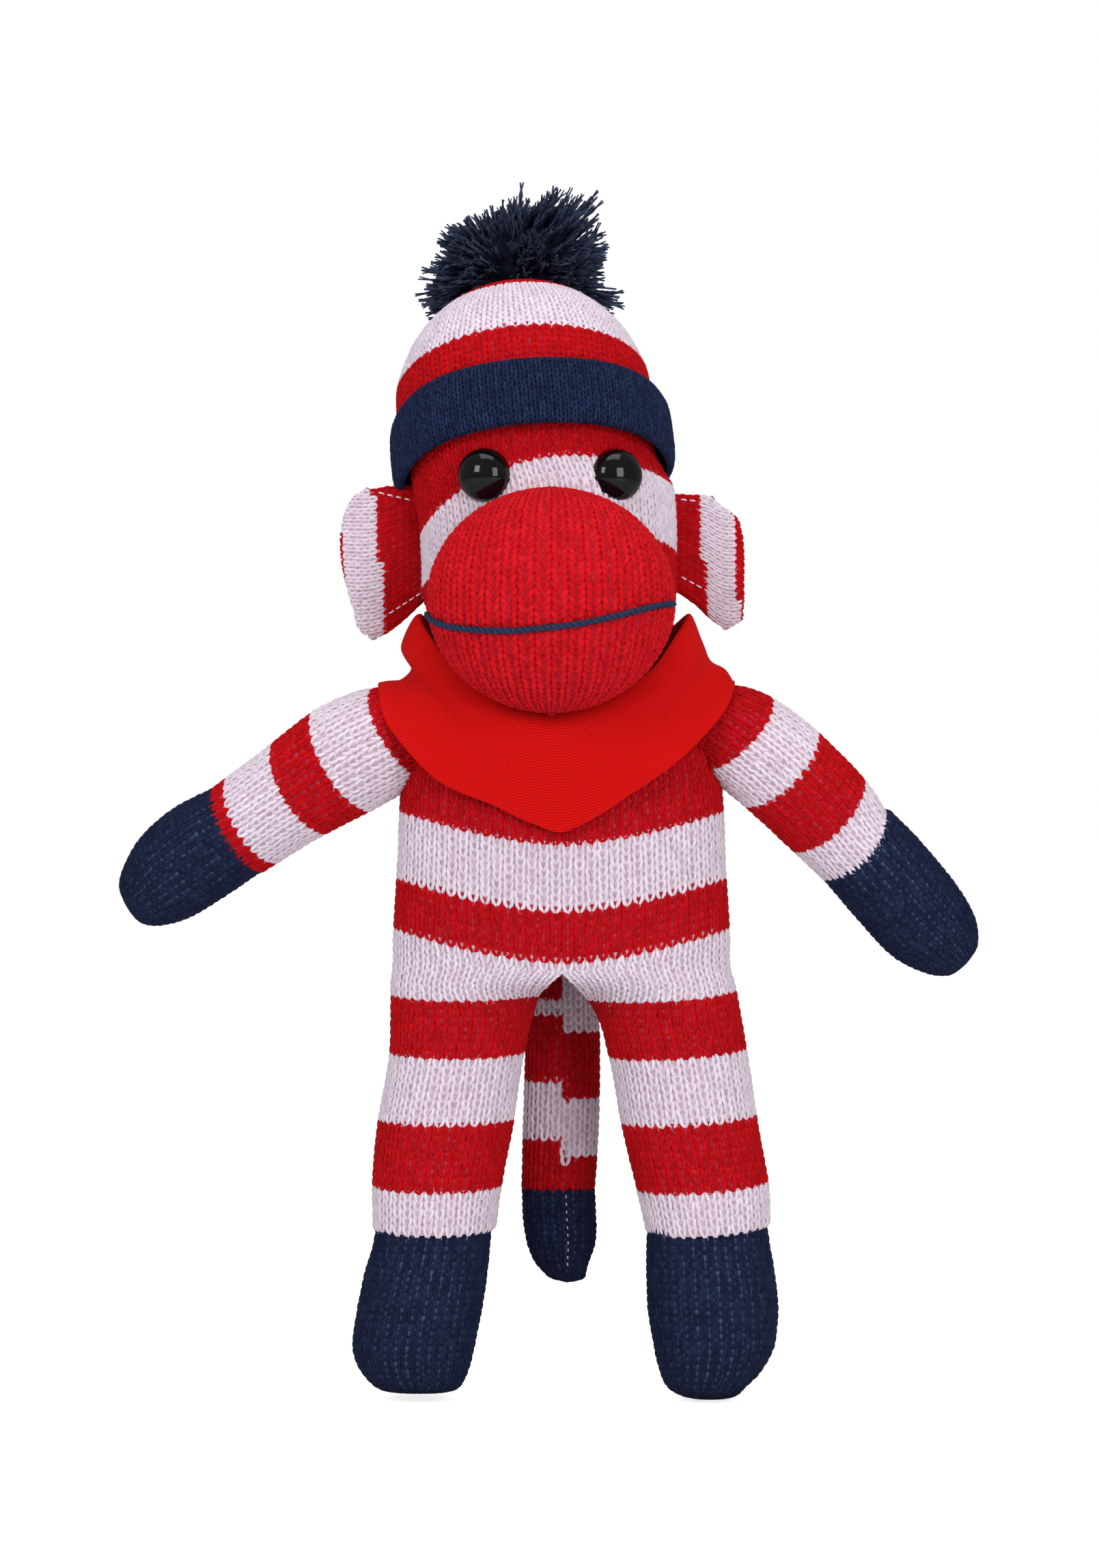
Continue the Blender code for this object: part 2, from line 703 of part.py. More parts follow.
# Pompom
middle = HAT_FRAME @ Vector((0, 0, HAT_H)) + Vector((POMPOM_ACROSS, POMPOM_BEHIND, POMPOM_ABOVE))
lumps = []
for k in range(1, 2 * BALL_STEPS):
    angle = math.pi * k / (2 * BALL_STEPS)
    points = []
    for i, (x, y) in enumerate(superellipse(ROUND_LIMB, math.sin(angle), math.sin(angle), 2)):
        turn = 2 * math.pi * i / ROUND_LIMB
        lump = POMPOM_LUMP * math.sin(POMPOM_LUMPS / 2 * turn + POMPOM_TWIST * k)
        wide, deep = POMPOM_R + lump, POMPOM_D + lump
        points.append(middle + Vector((x * wide, y * deep, -math.cos(angle) * deep)))
    lumps.append(points)
rise = Vector((0, 0, POMPOM_D))
pompom = add("pompom", loft(lumps, middle - rise, middle + rise), POMPOM_YARN)
cut(pompom, crown_shape(CLEAR), "hat")

# Bandana


def torso_radius(angle, z, grow):
    """The torso's reach from its middle at a height, in one direction."""
    rows = [(CROTCH_Z + s * TORSO_H, w * TORSO_HALF_W, d * TORSO_HALF_D) for s, w, d in TORSO_SHARES]
    rows.append((RIM_Z, RIM_R, RIM_R))
    for low, high in zip(rows, rows[1:]):
        if z <= high[0]:
            break
    t = (z - low[0]) / (high[0] - low[0])
    half_w = low[1] + (high[1] - low[1]) * t + grow
    half_d = low[2] + (high[2] - low[2]) * t + grow
    c, s = abs(math.cos(angle)), abs(math.sin(angle))
    return ((c / half_w) ** TORSO_POWER + (s / half_d) ** TORSO_POWER) ** (-1 / TORSO_POWER)


def smooth(t):
    t = min(1, max(0, t))
    return t * t * (3 - 2 * t)


def drape_point(angle, down, lift):
    """A place on the cloth: angle round the neck, share of the way down, height off the body."""
    c, s = math.cos(angle), math.sin(angle)
    flank = smooth((abs(c) - CLOTH_FLANK_SHARE) / (1 - CLOTH_FLANK_SHARE))
    collar_z = NECK_Z + COLLAR_UP + COLLAR_SIDE_RISE * c * c + COLLAR_BACK_RISE * max(0, s)
    collar = Vector((COLLAR_HALF_W * c, COLLAR_HALF_D * s, collar_z))
    if s < 0:
        rise = (abs(c) / CLOTH_FLANK_SHARE) ** CLOTH_CURVE
        edge_z = NECK_Z - CLOTH_TIP_DOWN + (CLOTH_TIP_DOWN - CLOTH_FLANK_DOWN) * rise
    else:
        edge_z = NECK_Z - CLOTH_BACK_DOWN
    start_z = collar_z - (NECK_TIE_R + NECK_WALL) / 2
    z = start_z + (edge_z - start_z) * down
    reach = torso_radius(angle, min(z, RIM_Z), CLOTH_OFF)
    reach += CLOTH_FOLD * (1 + math.sin(CLOTH_FOLDS * angle)) * down
    body = Vector((reach * c, reach * s, z))
    body = collar.lerp(body, smooth(down / COLLAR_BLEND_SHARE))
    out = COLLAR_HALF_W + (TORSO_HALF_W - CLOTH_SHOULDER_IN - COLLAR_HALF_W) * down
    shoulder_z = SHOULDER_Z + ARM_R + CLOTH_SHOULDER_UP
    over_z = collar_z + (shoulder_z - collar_z) * (1 - (1 - down) ** 2)
    over = Vector((math.copysign(out, c), out * s * CLOTH_ROUND_SHARE, over_z))
    place = body.lerp(over, flank)
    away = Vector((c, s, CLOTH_TILT_SHARE + flank)).normalized()
    return place + Vector((BODY_X, 0, 0)) + away * lift


DRAPE_SHARES = (0.0, 0.10, 0.24, 0.42, 0.62, 0.82, 1.0)
sections = []
for k in range(COLLAR_STEPS):
    angle = 2 * math.pi * (k + 0.5) / COLLAR_STEPS
    inside = [drape_point(angle, down, 0.0) for down in DRAPE_SHARES]
    outside = [drape_point(angle, down, CLOTH_T) for down in DRAPE_SHARES]
    sections.append(inside + outside[::-1])
bandana = add("bandana", closed_loop(sections), JERSEY)
cut(bandana, loft(torso_rings(CLEAR)), "torso")
for name, side in SIDES.items():
    cut(bandana, ball(shoulder_frame(side), ARM_R + CLEAR), f"shoulder_{name}")

seat = drape_point(math.pi / 2, KNOT_DOWN_SHARE, CLOTH_T)
knot_y = seat.y + KNOT_D + CLEAR
knot_frame = at(BODY_X, knot_y, seat.z)
knot_rings = ball_rings(knot_frame, KNOT_H, POLE_ANGLE, 180 - POLE_ANGLE, BALL_STEPS, ROUND_SMALL)
for points in knot_rings:
    for point in points:
        point.x = BODY_X + (point.x - BODY_X) * KNOT_W / KNOT_H
        point.y = knot_y + (point.y - knot_y) * KNOT_D / KNOT_H
knot_low, knot_high = (knot_frame @ Vector((0, 0, z)) for z in (-KNOT_H, KNOT_H))
add("bandana_knot", loft(knot_rings, knot_low, knot_high), JERSEY)

# Arms and hands
for name, side in SIDES.items():
    pivot = Vector((BODY_X + side * SHOULDER_OUT, 0, SHOULDER_Z))
    swing = Matrix.Rotation(math.radians(side * (90 + ARM_DROP[name])), 4, "Y")
    frame = Matrix.Translation(pivot) @ swing
    sleeve, whole = SLEEVE_L[name], ARM_L[name]
    rings = ball_rings(frame, ARM_R, POLE_ANGLE, 90, BALL_STEPS)
    for share, wide in ARM_SHARES:
        rings.append(ring(frame, share * (sleeve - CLEAR / 2), wide * ARM_R, wide * ARM_R))
    add(f"arm_{name}", loft(rings, frame @ Vector((0, 0, -ARM_R))), RED_KNIT, pivot)
    rings = []
    start = sleeve + CLEAR / 2
    for share, wide in HAND_SHARES:
        rings.append(ring(frame, start + share * (whole - start), wide * ARM_R, wide * ARM_R))
    add(f"hand_{name}", loft(rings, None, frame @ Vector((0, 0, whole))), NAVY_KNIT, pivot)

# Legs and feet


def leg_x(side, z):
    """The middle of a leg at a height: it runs out towards the foot."""
    return BODY_X + side * (FOOT_OUT + (HIP_OUT - FOOT_OUT) * z / HIP_Z)


def leg_shape(side):
    """The striped tube of a leg, closed above by a barrel about the hip's axis."""
    low = ANKLE_Z + CLEAR / 2
    rings = []
    for share, wide, deep, power in LEG_SHARES:
        z = low + share * (HIP_Z - low)
        frame = at(leg_x(side, z), 0, z)
        rings.append(ring(frame, 0, wide * HIP_HALF_W, deep * HIP_R, power))
    rings.append(ring(at(leg_x(side, HIP_Z), 0, HIP_Z), 0, HIP_HALF_W, HIP_R, HIP_POWER))
    bm = bmesh.new()
    rows = [[bm.verts.new(point) for point in points] for points in rings]
    for lower, upper in zip(rows, rows[1:]):
        for i in range(ROUND_LIMB):
            j = (i + 1) % ROUND_LIMB
            bm.faces.new((lower[i], lower[j], upper[j], upper[i]))
    bm.faces.new(rows[0])
    hip, half = rows[-1], ROUND_LIMB // 2
    above = hip[: half + 1]
    steps = 2 * BALL_STEPS
    for k in range(1, steps + 1):
        angle = math.pi * k / steps
        if k == steps:
            after = [hip[0]] + [hip[ROUND_LIMB - i] for i in range(1, half)] + [hip[half]]
        else:
            after = [hip[0]]
            for i in range(1, half):
                x, y, z = hip[i].co
                after.append(bm.verts.new((x, y * math.cos(angle), z + y * math.sin(angle))))
            after.append(hip[half])
        for i in range(half):
            corners = [above[i], above[i + 1], after[i + 1], after[i]]
            bm.faces.new(list(dict.fromkeys(corners)))
        above = after
    bmesh.ops.recalc_face_normals(bm, faces=bm.faces)
    return bm


for name, side in SIDES.items():
    pivot = (leg_x(side, HIP_Z), 0, HIP_Z)
    add(f"leg_{name}", leg_shape(side), RED_KNIT, pivot)
    top = ANKLE_Z - CLEAR / 2
    rings = []
    for share, wide, deep, forward in FOOT_SHARES:
        z = share * top
        frame = at(leg_x(side, z), -forward * FOOT_FORWARD, z)
        rings.append(ring(frame, 0, wide * FOOT_HALF_W, deep * FOOT_HALF_D, LEG_POWER))
    add(f"foot_{name}", loft(rings), NAVY_KNIT, pivot)

# Tail
tail_pivot = Vector((TAIL_X, TAIL_Y, TAIL_Z))
down = Matrix.Translation(tail_pivot) @ Matrix.Rotation(math.pi, 4, "X")
stripes_l = TAIL_L - TAIL_TIP_L
rings = ball_rings(down, TAIL_R, POLE_ANGLE, 90, BALL_STEPS, ROUND_SMALL)
for share, wide in TAIL_SHARES:
    along, radius = share * (stripes_l - CLEAR / 2), wide * TAIL_R
    rings.append(ring(down, along, radius, radius, count=ROUND_SMALL))
add("tail", loft(rings, down @ Vector((0, 0, -TAIL_R))), RED_KNIT, tail_pivot)
rings = []
start = stripes_l + CLEAR / 2
for share, wide in TAIL_TIP_SHARES:
    along = start + share * (TAIL_L - start)
    rings.append(ring(down, along, wide * TAIL_R, wide * TAIL_R, count=ROUND_SMALL))
add("tail_tip", loft(rings, None, down @ Vector((0, 0, TAIL_L))), NAVY_KNIT, tail_pivot)
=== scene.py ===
"""Sock monkey doll, dressed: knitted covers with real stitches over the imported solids.

Left and right are the doll's own, so left is +X. The doll faces -Y and stands on z = 0.
Tables of sections are in millimetres, everything else is in metres.
"""

import math

import bpy
import numpy as np
from mathutils import Matrix, Vector


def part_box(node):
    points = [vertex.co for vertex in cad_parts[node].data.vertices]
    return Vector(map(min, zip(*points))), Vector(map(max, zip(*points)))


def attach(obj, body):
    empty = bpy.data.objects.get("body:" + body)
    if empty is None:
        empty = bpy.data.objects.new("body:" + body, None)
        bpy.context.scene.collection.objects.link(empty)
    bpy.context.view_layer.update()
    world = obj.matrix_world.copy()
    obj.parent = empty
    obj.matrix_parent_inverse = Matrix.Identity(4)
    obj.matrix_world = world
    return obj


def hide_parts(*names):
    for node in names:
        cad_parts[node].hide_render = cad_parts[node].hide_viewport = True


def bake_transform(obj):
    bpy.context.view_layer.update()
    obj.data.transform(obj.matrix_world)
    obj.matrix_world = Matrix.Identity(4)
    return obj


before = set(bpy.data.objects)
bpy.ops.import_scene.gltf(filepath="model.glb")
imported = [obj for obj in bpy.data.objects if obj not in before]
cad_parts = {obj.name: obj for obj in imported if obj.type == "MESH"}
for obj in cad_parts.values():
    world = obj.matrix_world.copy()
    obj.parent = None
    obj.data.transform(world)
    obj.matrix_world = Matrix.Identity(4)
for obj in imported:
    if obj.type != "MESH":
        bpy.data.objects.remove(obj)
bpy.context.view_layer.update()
MM = 0.001

# Yarns. The stripes are soft single yarn, matt and a little fuzzy, in red and white; hands,
# feet, tail tip and hat cuff are navy. Filling shows through the open loops, its colours
# darkened with painted shade of the hollows between them.


def put(node, sockets):
    """Set a node's input sockets."""
    for socket, value in sockets.items():
        node.inputs[socket].default_value = value


def add(nodes, kind, sockets=None, **settings):
    """A new node of a kind, with its input sockets and its own settings."""
    node = nodes.new("ShaderNode" + kind)
    for setting, value in settings.items():
        setattr(node, setting, value)
    put(node, sockets or {})
    return node


def add_ramp(nodes, low, high, middle=None):
    """A colour ramp between two stops, each a position and a colour, or through a third."""
    ramp = add(nodes, "ValToRGB")
    for stop, (position, colour) in zip(ramp.color_ramp.elements, (low, high)):
        stop.position, stop.color = position, (*colour, 1)
    if middle:
        ramp.color_ramp.elements.new(middle[0]).color = (*middle[1], 1)
    return ramp


def add_relief(nodes, link, shader, height, strength, deep):
    """Relief on the shader from the output height, deep at most so many metres."""
    raised = add(nodes, "Bump", {"Strength": strength, "Distance": deep})
    link(height, raised.inputs["Height"])
    link(raised.outputs["Normal"], shader.inputs["Normal"])


def new_material(name):
    """A material, its nodes, the function that links them, and its shader."""
    made = bpy.data.materials.new(name)
    made.use_nodes = True
    nodes = made.node_tree.nodes
    return made, nodes, made.node_tree.links.new, nodes["Principled BSDF"]


STREAKS = (9, 1.6, 1)  # per mm across and along the strand
TONE_STEP = 0.28  # how far a stitch may differ from the next


def yarn(name, shade, mid, light, relief=0.6):
    """Soft yarn: streaks along the strand, a little tone from stitch to stitch, raised fibres."""
    made, nodes, link, shader = new_material(name)
    strand = add(nodes, "UVMap", uv_map="strand")
    stretch = add(nodes, "Mapping", {"Scale": STREAKS})
    link(strand.outputs["UV"], stretch.inputs["Vector"])
    streak = add(nodes, "TexNoise", {"Scale": 1.0, "Detail": 4, "Roughness": 0.65})
    link(stretch.outputs["Vector"], streak.inputs["Vector"])
    tone = add(nodes, "Attribute", attribute_name="tone")
    both = add(nodes, "Math", {1: TONE_STEP}, operation="MULTIPLY_ADD")
    link(tone.outputs["Fac"], both.inputs[0])
    link(streak.outputs["Fac"], both.inputs[2])
    ramp = add_ramp(nodes, (0.34, shade), (0.92, light), (0.60, mid))
    link(both.outputs["Value"], ramp.inputs["Fac"])
    link(ramp.outputs["Color"], shader.inputs["Base Color"])
    add_relief(nodes, link, shader, streak.outputs["Fac"], relief, 0.3 * MM)
    put(shader, {"Roughness": 0.95, "Specular IOR Level": 0.15})
    put(shader, {"Sheen Weight": 0.05, "Sheen Roughness": 0.5, "Sheen Tint": (*light, 1)})
    return made


RED = yarn("red_yarn", (0.32, 0.0003, 0.0018), (0.49, 0.0004, 0.0034), (0.63, 0.002, 0.008))
WHITE = yarn("white_yarn", (0.64, 0.525, 0.63), (0.80, 0.68, 0.79), (0.90, 0.81, 0.90))
NAVY = yarn("navy_yarn", (0.0036, 0.0066, 0.027), (0.0075, 0.0120, 0.043), (0.016, 0.026, 0.074))
MOUTH = yarn("mouth_yarn", (0.008, 0.013, 0.038), (0.019, 0.029, 0.068), (0.05, 0.075, 0.145))
CUFF_YARN = yarn(
    "cuff_yarn", (0.0036, 0.0062, 0.024), (0.0105, 0.018, 0.062), (0.026, 0.046, 0.125), relief=0.8
)
# the pompom yarn's pale stop is painted light, reached at the strand tips
POMPOM = yarn("pompom_yarn", (0.0025, 0.0035, 0.011), (0.008, 0.012, 0.034), (0.10, 0.13, 0.22))
MUZZLE = yarn("muzzle_yarn", (0.42, 0.0016, 0.006), (0.60, 0.0028, 0.009), (0.76, 0.009, 0.018))


def clouded(name, low, high, scale, spread, roughness):
    """A material of two tones in soft clouds, its parts, and the clouds."""
    made, nodes, link, shader = new_material(name)
    place = add(nodes, "TexCoord")
    cloud = add(nodes, "TexNoise", {"Scale": scale, "Detail": 3})
    link(place.outputs["Object"], cloud.inputs["Vector"])
    ramp = add_ramp(nodes, (0.5 - spread, low), (0.5 + spread, high))
    link(cloud.outputs["Fac"], ramp.inputs["Fac"])
    link(ramp.outputs["Color"], shader.inputs["Base Color"])
    put(shader, {"Roughness": roughness})
    return made, nodes, link, shader, cloud.outputs["Fac"]


def filling(name, low, high):
    """What shows between the loops: filling and the strands that run behind, darkened as painted shade."""
    made, _, _, shader, _ = clouded(name, low, high, 900, 0.15, 1.0)
    put(shader, {"Specular IOR Level": 0.1})
    return made


# painted shade: each lining colour is the filling or the yarn behind the loops, darkened for the shade in
# the hollows between them
UNDER_RED_PAINTED_SHADE = filling("filling_behind_red_painted_shade", (0.30, 0.003, 0.012), (0.44, 0.035, 0.06))
UNDER_WHITE_PAINTED_SHADE = filling("filling_behind_white_painted_shade", (0.42, 0.30, 0.37), (0.60, 0.47, 0.54))
UNDER_MUZZLE_PAINTED_SHADE = filling("filling_behind_muzzle_painted_shade", (0.33, 0.003, 0.009), (0.44, 0.018, 0.036))
UNDER_CUFF_PAINTED_SHADE = filling("cuff_inner_fold_painted_shade", (0.0015, 0.003, 0.010), (0.005, 0.009, 0.026))
UNDER_NAVY_PAINTED_SHADE = filling("filling_behind_navy_painted_shade", (0.014, 0.022, 0.055), (0.06, 0.08, 0.15))
STRIPES = {"yarns": [RED, WHITE], "lining": [UNDER_RED_PAINTED_SHADE, UNDER_WHITE_PAINTED_SHADE]}
PLAIN_NAVY = {"yarns": [NAVY], "lining": [UNDER_NAVY_PAINTED_SHADE]}

# Torso: a tube of striped knit over filling, gathered at the neck. Its stripes sag at the
# belly. The cover is built up course by course from rows of V-shaped stitches.
SKIN_ROWS, SKIN_COLUMNS = 161, 241  # grid of points on which a cover is laid
THINNEST = 0.2 * MM


def through(keys, values, at):
    """A smooth curve through a table, read at many places."""
    keys, values = np.asarray(keys, float), np.asarray(values, float)
    slope = np.gradient(values, keys, axis=0)
    i = np.clip(np.searchsorted(keys, at) - 1, 0, len(keys) - 2)
    gap = (keys[i + 1] - keys[i])[:, None]
    t = ((at - keys[i]))[:, None] / gap
    return (
        values[i] * (1 + 2 * t) * (1 - t) ** 2
        + slope[i] * gap * t * (1 - t) ** 2
        + values[i + 1] * t * t * (3 - 2 * t)
        + slope[i + 1] * gap * t * t * (t - 1)
    )


def running(points):
    """Distance along a row of points."""
    steps = np.linalg.norm(np.diff(points, axis=0), axis=1)
    return np.concatenate([[0], np.cumsum(steps)])


def unit(vectors):
    """The same directions, each one long."""
    return vectors / np.maximum(np.linalg.norm(vectors, axis=-1), 1e-12)[..., None]


def oval(turn, power):
    """A ring between an ellipse, power 2, and a rectangle."""
    c, s = np.cos(turn), np.sin(turn)
    return np.sign(c) * np.abs(c) ** (2 / power), np.sign(s) * np.abs(s) ** (2 / power)


def evenly_round(ox, oy, half_w=1, half_d=1):
    """A ring's points moved so that they lie evenly round it once it is stretched."""
    round_run = running(np.stack([half_w * ox, half_d * oy], 1))
    where = np.linspace(0, round_run[-1], SKIN_COLUMNS)
    return np.interp(where, round_run, ox), np.interp(where, round_run, oy)


def stuffed(sections, power=2.2, dip=0.0, tilt=0.0, peak=None, warp=None):
    """Skin of a stuffed tube: an even grid, its length, and the height of each of its rows.

    Sections run from the bottom up: height, middle x, middle y, half width and half depth in
    mm. Rows sag by dip in front, along the skin, and rise to one side by tilt. With peak, the
    sag comes to more of a point. warp moves the finished grid.
    """
    table = np.array(sections, float) * MM
    keys = np.arange(len(table))
    fine = np.linspace(0, len(table) - 1, 500)
    path = through(keys, table, fine)
    path[:, 3:] = np.maximum(path[:, 3:], THINNEST)
    run = running(path * (1, 1, 1, 0.7, 0.7))
    even = through(keys, table, np.interp(np.linspace(0, run[-1], SKIN_ROWS), run, fine))
    even[:, 3:] = np.maximum(even[:, 3:], THINNEST)
    ox, oy = oval(np.linspace(0, 2 * math.pi, 721) + math.pi / 2, power)
    widest = even[:, 3].max()
    grid = np.empty((SKIN_ROWS, SKIN_COLUMNS, 3))
    for k, (z, _, _, half_w, half_d) in enumerate(even):
        cx, cy = evenly_round(ox, oy, half_w, half_d)
        fade = min(1, half_w / widest / 0.5)
        if table[0, 3] < 0.3 * widest:
            fade *= min(1, (z - table[0, 0]) / (3 * abs(dip) + 1e-9))
        if table[-1, 3] < 0.3 * widest:
            fade *= min(1, (table[-1, 0] - z) / (3 * abs(dip) + 1e-9))
        sag = np.maximum(0, -cy) ** 1.6
        if peak:
            sag = np.where(cy < 0, 1 - np.abs(cx) ** peak, 0)
        height = z + fade * (tilt * half_w * cx - dip * sag)
        mid_x, mid_y, half_w, half_d = (np.interp(height, path[:, 0], path[:, n]) for n in (1, 2, 3, 4))
        grid[k] = np.stack([mid_x + half_w * cx, mid_y + half_d * cy, height], 1)
    return grid if warp is None else warp(grid), run[-1], even[:, 0]


def on_grid(grid, u, v, closed=True):
    """Places on a skin: u turns round it and v up it, both as shares."""
    rows, cols = grid.shape[0] - 1, grid.shape[1] - 1
    a, b = v * rows, (u % 1 if closed else u) * cols
    i = np.clip(np.floor(a), 0, rows - 1).astype(int)
    j = np.clip(np.floor(b), 0, cols - 1).astype(int)
    fa, fb = (a - i)[:, None], (b - j)[:, None]
    low = grid[i, j] * (1 - fb) + grid[i, j + 1] * fb
    high = grid[i + 1, j] * (1 - fb) + grid[i + 1, j + 1] * fb
    return low * (1 - fa) + high * fa


def outward(grid, u, v, closed=True, ends=(-1, 2), reach=0.012):
    """The skin's outward direction, and how far apart neighbouring columns lie there."""
    across = on_grid(grid, u + reach, v, closed) - on_grid(grid, u - reach, v, closed)
    above, below = (on_grid(grid, u, np.clip(v + step, *ends), closed) for step in (reach, -reach))
    return unit(np.cross(across, above - below)), np.linalg.norm(across, axis=1) / (2 * reach)


def cell_quads(cells):
    """Four corners for every cell of a grid of point numbers."""
    return np.stack([cells[:-1, :-1], cells[:-1, 1:], cells[1:, 1:], cells[1:, :-1]], -1).reshape(-1, 4)


def new_mesh(name, points, quads, slots, materials, uv=None, tone=None):
    """A smooth mesh of quads. Slots tell each face's material; uv and tone go with the points."""
    mesh = bpy.data.meshes.new(name)
    mesh.vertices.add(len(points))
    mesh.vertices.foreach_set("co", np.asarray(points, np.float32).ravel())
    mesh.loops.add(quads.size)
    mesh.loops.foreach_set("vertex_index", quads.astype(np.int32).ravel())
    mesh.polygons.add(len(quads))
    mesh.polygons.foreach_set("loop_start", np.arange(0, quads.size, 4, dtype=np.int32))
    mesh.polygons.foreach_set("material_index", np.broadcast_to(slots, len(quads)).astype(np.int32))
    mesh.update(calc_edges=True)
    for material in materials:
        mesh.materials.append(material)
    layer = mesh.uv_layers.new(name="strand")
    if uv is not None:
        layer.uv.foreach_set("vector", uv[quads.ravel()].astype(np.float32).ravel())
    shade = mesh.attributes.new("tone", "FLOAT", "POINT")
    if tone is not None:
        shade.data.foreach_set("value", np.broadcast_to(tone, len(points)).astype(np.float32))
    mesh.shade_smooth()
    piece = bpy.data.objects.new(name, mesh)
    bpy.context.collection.objects.link(piece)
    return piece


# One leg of a stitch, in columns across, courses up and millimetres out: it comes out of the
# loop below near the middle of the column, leans out, and tucks behind the course above. Holes
# stay open in the middle of each stitch and, smaller, between the columns.
LEG_ACROSS = (0.05, 0.15, 0.27, 0.33, 0.305, 0.20)
LEG_UP = (-0.24, 0.02, 0.34, 0.70, 1.04, 1.40)
LEG_OUT = (-0.80, -0.46, -0.29, -0.29, -0.48, -0.82)
LEG_WIDE = (0.30, 0.42, 0.455, 0.46, 0.42, 0.30)
LEG_FLAT = 0.6
LEG_TURNS = (-112, -40, 40, 112)  # degrees round the strand, from its outer side
FIBRES, FIBRE_HALF = 2, 0.024  # per leg, and half a fibre's width in mm
STRAND_SHARE = {
    "red_yarn": 1.1, "white_yarn": 1.0, "navy_yarn": 1.08, "cuff_yarn": 0.98, "muzzle_yarn": 1.12
}
WOBBLE, FULLNESS = 0.03, (0.9, 1.08)  # from stitch to stitch, as shares
SLIMMEST, FULLEST = 0.35, 1.15  # of strands where columns draw together or spread
LINING_DEEP = 0.50  # mm behind the skin
LINING_ROWS, LINING_COLUMNS = 60, 96
CLOSING_HALF, CLOSING_TALL, CLOSING_SUNK = 1.0, 0.5, 0.5


def closing(grid, end, inner):
    """A few turns of the end yarn that close a drawn-in end: points, quads and uv."""
    middle = grid[end].mean(0)
    axis = unit(middle - grid[inner].mean(0))
    first = unit(np.cross(axis, (0, 1, 0.001) if abs(axis[1]) < 0.9 else (1, 0, 0)))
    second = np.cross(axis, first)
    a, b = (part.ravel() for part in np.meshgrid(np.linspace(-1, 1, 7), np.linspace(-1, 1, 7)))
    a, b = a * np.sqrt(1 - b * b / 2), b * np.sqrt(1 - a * a / 2)
    bulge = CLOSING_TALL * (1 - a * a - b * b) - CLOSING_SUNK
    flat = (a[:, None] * first + b[:, None] * second) * CLOSING_HALF * MM
    cap = middle + flat + bulge[:, None] * axis * MM
    return cap, cell_quads(np.arange(49).reshape(7, 7)), np.stack([a, b], 1) * 1.5


